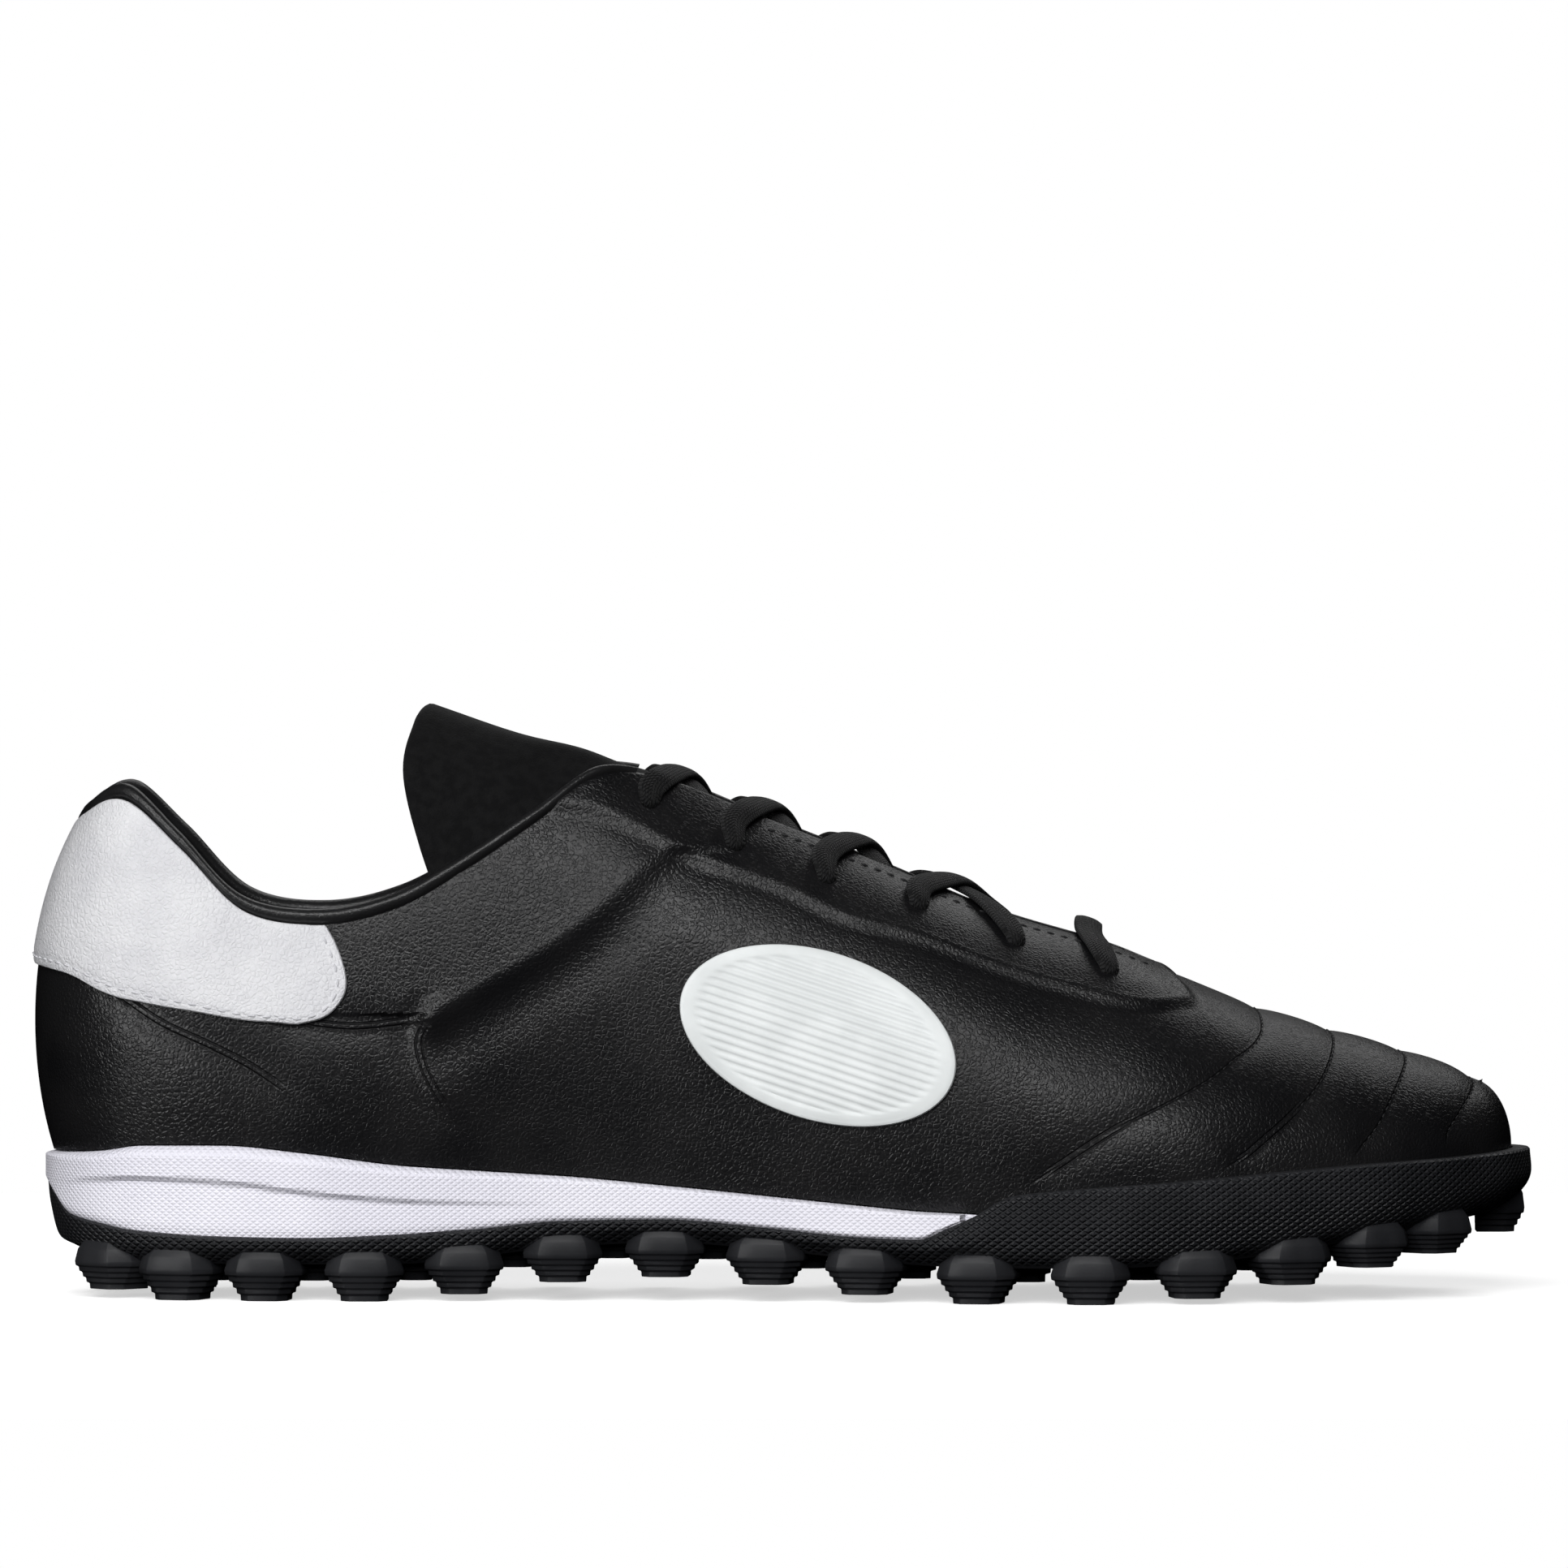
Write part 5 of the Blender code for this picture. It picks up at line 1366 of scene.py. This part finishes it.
def all_studs():
    """Studs along both edges, one at the toe, low ones between them and the inner ones."""
    made = []
    for share in OUTER_STUDS:
        s = float(station_at(share * LENGTH))
        x = float(station_x(s))
        for side in (LATERAL, MEDIAL):
            made.append(edge_stud(s, STUD_INSET, STUD_LENGTH * 1.04, STUD_DEPTH, side,
                                  float(sole("base", x)) - STUD_ROOT, float(sole("tip", x)), 5,
                                  SHOULDER_STUDS))
    made.append(edge_stud(LAST, TOE_STUD_INSET, STUD_LENGTH, STUD_DEPTH * 0.86, LATERAL,
                          float(sole("base", LENGTH)), float(sole("tip", LENGTH)), 4, SHOULDER_TOE_STUD))
    for first, second in zip(OUTER_STUDS[1:-1], OUTER_STUDS[2:]):
        x = (first + second) / 2 * LENGTH
        edges = [outline(side, float(station_at(x)))[0][1] for side in (LATERAL, MEDIAL)]
        for place in LOW_STUD_PLACES:
            made.append(plain_stud(x, mix(*edges, place), 1.0 if place > 0.5 else -1.0, LOW_STUD_LENGTH,
                                   LOW_STUD_LENGTH * 0.7, LOW_STUD_RECESS, 3))
    for share in INNER_STUDS:
        x = share * LENGTH
        edges = [outline(side, float(station_at(x)))[0][1] for side in (LATERAL, MEDIAL)]
        for side in (LATERAL, MEDIAL):
            made.append(plain_stud(x, sum(edges) / 2 + side * INNER_STUD_SPREAD * BALL_WIDTH, float(side),
                                   INNER_STUD_LENGTH, INNER_STUD_LENGTH, INNER_STUD_RECESS, 2))
    return [bevelled(*solid, STUD_BEVEL) for solid in made]


def make_outsole():
    stations = np.unique(np.concatenate([np.linspace(0, 4, 64), np.linspace(4, 16, 170),
                                         np.linspace(16, LAST, 90), [TIP_STATION]]))

    def bottom(side, s):
        return inset_point(side, s, np.full_like(s, BOTTOM_INSET), sole("base", station_x(s)))

    def chamfer(side, s):
        height = sole("base", station_x(s)) + mix(*CHAMFER_RISE, cup(s))
        return inset_point(side, s, mix(*CHAMFER_INSET, cup(s)), height)

    def belly(side, s):
        x = station_x(s)
        height = mix(sole("base", x), sole("rim", x), mix(*BELLY_HEIGHT, cup(s)))
        return inset_point(side, s, mix(*BELLY_INSET, cup(s)), height)

    def rim_outer(side, s):
        return inset_point(side, s, mix(*RIM_INSET, cup(s)), sole("rim", station_x(s)) - RIM_ROUND)

    def rim_inner(side, s):
        rim = sole("rim", station_x(s))
        low = inset_point(side, s, np.full_like(s, CUP_LIP_INSET), rim)
        plain = inset_point(side, s, np.full_like(s, UPPER_INSET_TOE - GAP), rim)
        fitted = rim_point(side, s)
        made = np.where((rim <= upper_at(side, s, np.zeros_like(s))[..., 2])[..., None], plain, fitted)
        return np.where((s <= TIP_STATION)[..., None], low, made)

    def floor(side, s):
        inset = mix(CUP_LIP_INSET + GAP, UPPER_INSET_TOE - GAP, cup(s))
        return inset_point(side, s, inset, sole("floor", station_x(s)))

    keys = [ring(make, stations) for make in (bottom, chamfer, belly, rim_outer)]
    wall = list(smooth(np.stack(keys), np.linspace(0, 3, 19)))
    inner, deep = ring(rim_inner, stations), ring(floor, stations)
    lip = mix(keys[3], inner, 0.12)
    lip[:, 2] = inner[:, 2]
    rings = wall + [lip, inner, deep]
    points, faces = loft(rings, stations)
    run = np.tile(side_run(stations), len(rings))
    flat = np.stack([run, points[:, 2] * 1000, np.zeros(len(points))], -1)
    level = np.repeat(np.arange(len(rings)), len(rings[0]))
    knurl = ease(level, 1.0, 4.0) * (1 - ease(level, 17.5, 18.5))
    all_points, all_faces, start = [points], faces.tolist(), len(points)
    for some_points, some_faces in all_studs():
        all_points.append(some_points)
        all_faces += [[i + start for i in face] for face in some_faces]
        start += len(some_points)
    extra = start - len(points)
    marks = {"flat": np.concatenate([flat, np.zeros((extra, 3))]),
             "knurl": np.concatenate([knurl, np.zeros(extra)])}
    piece("outsole_rubber", np.concatenate(all_points), all_faces, RUBBER, ("outsole",),
          marks, angle=28.0, weld=False)


def make_insole():
    stations = np.linspace(0, LAST, 150)
    inset = UPPER_WALL + INSOLE_CLEARANCE

    def at(lift, extra):
        def make(side, s):
            height = sole("bed", station_x(s)) + INSOLE_SEAT + lift
            return inset_point(side, s, upper_inset(s) + inset + extra, height)
        return make

    thick = INSOLE_THICKNESS
    rings = [ring(at(0.0, 0.0), stations), ring(at(thick * 0.7, 0.0), stations),
             ring(at(thick * 0.95, INSOLE_ROUND / 3), stations), ring(at(thick, INSOLE_ROUND), stations)]
    points, faces = loft(rings, stations)
    piece("insole_sheet", points, faces, INSOLE, ("insole",))


# Tongue

def tongue_row(s):
    """Seven points across the tongue where it lies under the throat."""
    depth = -(UPPER_WALL + TONGUE_CLEARANCE + TONGUE_SINK * float(ease(s, THROAT_FRONT - 1, THROAT_FRONT)))
    half = []
    for side in (LATERAL, MEDIAL):
        v = np.array([1 - TONGUE_DEPTH, 1 - TONGUE_DEPTH / 2, 1.0])
        half.append(skin(side, np.full(3, float(s)), v, np.full(3, depth)))
    lateral, medial = half
    crest = (lateral[2] + medial[2]) / 2
    if s < THROAT_FRONT:
        lift = TONGUE_CREST + UPPER_WALL * min(1, float(throat_half(s)) / 0.006)
        crest = crest + np.array([0.0, 0.0, lift])
    if s >= THROAT_FRONT - 0.6:
        crest = (lateral[2] + medial[2]) / 2
        for points in (lateral, medial):
            points[2] = mix(points[1], crest, 0.66)
            points[2][2] -= 0.0010
    return np.concatenate([lateral, [crest], medial[::-1]])


def make_tongue():
    rows = [tongue_row(s) for s in (TONGUE_FRONT, 15.4, 14.8, 14.3, 13.5, 12.5, 11.5, 10.7, 10)]
    for values in TONGUE_ROWS:
        crest_x, crest_z, side_x, side_y, side_z, edge_x, edge_y, edge_z = values
        crest = np.array([crest_x * LENGTH, 0.0, crest_z * INSTEP_HEIGHT])
        half = []
        for side in (LATERAL, MEDIAL):
            side_point = np.array([side_x * LENGTH, side * side_y * HEEL_WIDTH, side_z * INSTEP_HEIGHT])
            edge_point = np.array([edge_x * LENGTH, side * edge_y * HEEL_WIDTH, edge_z * INSTEP_HEIGHT])
            shoulder = mix(side_point, crest, 0.5)
            shoulder[2] += TONGUE_ROUND
            half.append([edge_point, side_point, shoulder])
        rows.append(np.array(half[0] + [crest] + half[1][::-1]))
    rows = np.array(rows)
    fine = smooth(rows, np.linspace(0, len(rows) - 1, 120))
    fine = smooth(np.swapaxes(fine, 0, 1), np.linspace(0, rows.shape[1] - 1, 61))
    fine = np.swapaxes(fine, 0, 1)
    along = np.gradient(fine, axis=0)
    across = np.gradient(fine, axis=1)
    normal = unit(np.cross(along, across))
    grid = fine + normal * TONGUE_THICKNESS / 2
    t = np.linspace(0, 1, 120)[:, None]
    c = np.abs(np.linspace(-1, 1, 61))[None, :]
    full = mix(1.0, 1.25, ease(t, 0.75, 0.9) * (1 - ease(c, 0.75, 1.0)))
    half_thick = TONGUE_THICKNESS / 2 * full * mix(1.0, 0.75, ease(c, 0.9, 1.0))
    points, faces, _ = slab(grid, normal, half_thick, -half_thick, turns=6)
    made = piece("tongue_pad", points, faces, FABRIC, ("tongue",), angle=70.0)


# Laces

def strap(controls, normals, widths, count=64, across_count=9):
    """A flat braided strap through control points, each with its surface direction and width."""
    t = np.linspace(0, len(controls) - 1, count)
    line = smooth(np.array(controls), t)
    normal = unit(smooth(np.array(normals), t))
    width = smooth(np.array(widths, float)[:, None], t)[:, 0]
    tangent = unit(np.gradient(line, axis=0))
    across = np.cross(tangent, normal)
    weight = np.linalg.norm(across, axis=1)
    for k in range(1, count):
        if weight[k] < 0.35:
            across[k] = across[k - 1]
    for k in range(count - 2, -1, -1):
        if weight[k] < 0.35:
            across[k] = across[k + 1]
    for _ in range(3):
        across[1:-1] = (across[:-2] + across[1:-1] * 2 + across[2:]) / 4
    across = unit(across - tangent * np.sum(across * tangent, axis=1, keepdims=True))
    up = unit(np.cross(across, tangent))
    flip = np.sign(np.sum(up * normal, axis=1, keepdims=True))
    up = up * np.where(np.median(flip) < 0, -1, 1)
    run = np.concatenate([[0], np.cumsum(np.linalg.norm(np.diff(line, axis=0), axis=1))])
    c = np.linspace(-1, 1, across_count)
    half = (width / 2 - LACE_THICKNESS / 2)[:, None, None]
    grid = line[:, None] + across[:, None] * (c[None, :, None] * half)
    grid = grid + up[:, None] * (-0.00022 * c ** 2)[None, :, None]
    thick = LACE_THICKNESS / 2 * (1 + 0.45 * np.clip(1 - width / LACE_WIDTH, 0, 1))[:, None]
    crown = thick * (1 - 0.22 * c ** 4)[None, :]
    p, f, spread = slab(grid, np.broadcast_to(up[:, None], grid.shape), crown, -crown)
    flat = np.stack([spread(run[:, None] * 1000 + 0 * c), spread(c[None, :] * (width / 2)[:, None] * 1000),
                     spread(0.0)], -1)
    return p, f, flat


def lace_controls(side, start, end, over, arrive):
    """Control points of a strap from its eyelet over the throat to the other side."""
    s0, v0 = start
    s1, v1 = end

    def at(which, s, v, lift):
        return skin(which, np.array([s]), np.array([v]), np.array([lift]))[0]

    def way(which, s, v):
        return upper_normal(which, np.array([s]), np.array([v]))[0]

    near_s, far_s = mix(s0, s1, 0.24), mix(s0, s1, 0.76)
    points = [at(side, s0, v0, -0.0016), at(side, s0, v0, 0.0014),
              at(side, mix(s0, s1, 0.06), mix(v0, 1.0, 0.42), LACE_LIE),
              at(side, near_s, 0.995, LACE_LIE + 0.0001)]
    directions = [way(side, s0, v0)] * 2 + [way(side, s0, mix(v0, 1.0, 0.42)), way(side, near_s, 0.995)]
    middle = (points[3] + at(-side, far_s, 0.995, LACE_LIE)) / 2
    middle[2] += TONGUE_CREST + (0.0004 if over else -0.0012)
    points.append(middle)
    directions.append(unit(np.array([0.35, 0.0, 1.0])))
    widths = [3.6, 4.2, 5.8, 6.0, 6.0]
    if arrive:
        points += [at(-side, far_s, 0.995, LACE_LIE + 0.0001),
                   at(-side, mix(s0, s1, 0.95), mix(v1, 1.0, 0.42), LACE_LIE),
                   at(-side, s1, v1, 0.0014), at(-side, s1, v1, -0.0016)]
        directions += [way(-side, far_s, 0.995), way(-side, s1, mix(v1, 1.0, 0.42))]
        directions += [way(-side, s1, v1)] * 2
        widths += [6.0, 5.8, 4.2, 3.6]
    else:
        points += [at(-side, far_s, 1.0, -0.0008), at(-side, mix(s0, s1, 0.88), 0.93, -UPPER_WALL - 0.0006)]
        directions += [way(-side, far_s, 0.99), way(-side, far_s, 0.93)]
        widths += [5.8, 5.4]
    return points, directions, [w / 6.0 * LACE_WIDTH for w in widths]


def make_laces():
    """Four crossings of two straps each, and the bar at the front.

    Only the straps of the last crossing come down into the next eyelets, the others tuck under the
    far edge.
    """
    for number, ends in enumerate(zip(HOLES[:-2], HOLES[1:-1])):
        whole = number == len(HOLES) - 3
        straps = [strap(*lace_controls(side, *ends, side == LATERAL, whole)) for side in (LATERAL, MEDIAL)]
        points, faces = joined([made[:2] for made in straps])
        flat = np.concatenate([made[2] for made in straps])
        piece("lace_pair_" + str(number + 1), points, faces, LACE,
              ("lace_crossing_" + str(number + 1),), {"flat": flat}, weld=False, angle=60.0)
    points, faces, flat = strap(*lace_controls(LATERAL, HOLES[-1], HOLES[-1], True, True))
    piece("lace_lowest", points, faces, LACE, ("lace_bar",), {"flat": flat}, weld=False,
          angle=60.0)


# Stage

def area_light(name, spot, aim, size, power, shine):
    light = bpy.data.lights.new(name, "AREA")
    light.shape = "RECTANGLE"
    light.size, light.size_y = size
    light.energy = power
    made = bpy.data.objects.new(name, light)
    made.location = spot
    made.rotation_euler = (Vector(aim) - Vector(spot)).to_track_quat("-Z", "Y").to_euler()
    made.visible_camera = False
    made.visible_glossy = shine
    bpy.context.scene.collection.objects.link(made)


FLOOR_HALF = 0.42
CAMERA_DISTANCE = 3.4
CAMERA_TILT = math.radians(1.3)
CAMERA_AIM = (0.0004, -0.015, 0.1011)
VIEW_WIDTH = 0.3091
SENSOR_WIDTH = 36.0

# Lamps: name, place, aim, size, watts and whether they show in the shine
LAMPS = (
    ("fill", (-0.25, -2.00, 0.70), (0.0, 0.0, 0.05), (1.4, 0.9), 30.0, False),
    ("key_top", (-0.22, -0.95, 0.98), (-0.03, 0.0, 0.05), (1.25, 0.40), 8.0, True),
    ("left_box", (-1.05, -0.95, 0.28), (-0.10, 0.0, 0.05), (0.45, 0.60), 5.0, True),
    ("back_top", (0.25, 0.95, 0.80), (0.05, 0.0, 0.05), (1.1, 0.45), 1.8, True),
    ("back_fill", (0.2, 1.90, 0.80), (0.0, 0.0, 0.05), (1.4, 0.9), 22.0, False),
)


def make_stage():
    scene = bpy.context.scene
    scene.view_settings.view_transform = "Standard"
    mesh = bpy.data.meshes.new("floor")
    far = FLOOR_HALF
    mesh.from_pydata([(-far, -far, 0), (far, -far, 0), (far, far, 0), (-far, far, 0)], [], [(0, 1, 2, 3)])
    floor = bpy.data.objects.new("floor", mesh)
    scene.collection.objects.link(floor)
    made, tree, shader = new_finish("floor_pale", 0.9, 0.1)
    shader.inputs["Base Color"].default_value = (0.92, 0.92, 0.92, 1.0)
    shader.inputs["Emission Color"].default_value = (1.0, 1.0, 1.0, 1.0)
    shader.inputs["Emission Strength"].default_value = 0.55
    mesh.materials.append(made)
    floor.visible_glossy = False
    floor.visible_diffuse = False
    world = bpy.data.worlds.new("studio")
    scene.world = world
    world.use_nodes = True
    back = world.node_tree.nodes["Background"]
    back.inputs["Color"].default_value = (1.0, 1.0, 1.0, 1.0)
    back.inputs["Strength"].default_value = 1.0
    world.cycles_visibility.diffuse = False
    world.cycles_visibility.glossy = False
    for lamp in LAMPS:
        area_light(*lamp)
    lens = bpy.data.cameras.new("camera")
    camera = bpy.data.objects.new("camera", lens)
    scene.collection.objects.link(camera)
    back_way = Vector((0.0, -math.cos(CAMERA_TILT), math.sin(CAMERA_TILT)))
    camera.location = Vector(CAMERA_AIM) + back_way * CAMERA_DISTANCE
    camera.rotation_euler = (-back_way).to_track_quat("-Z", "Y").to_euler()
    lens.sensor_width = SENSOR_WIDTH
    lens.lens = SENSOR_WIDTH * CAMERA_DISTANCE / VIEW_WIDTH
    lens.clip_end = 100.0
    lens.dof.use_dof = False
    scene.camera = camera


upper_object = make_upper()
punch_eyelets(upper_object)
make_dark_stitches()
make_heel_cover()
make_oval("oval_lateral", "side_mark_lateral", LATERAL)
make_oval("oval_medial", "side_mark_medial", MEDIAL)
make_collar()
make_midsole()
make_outsole()
make_insole()
make_tongue()
make_laces()
make_stage()
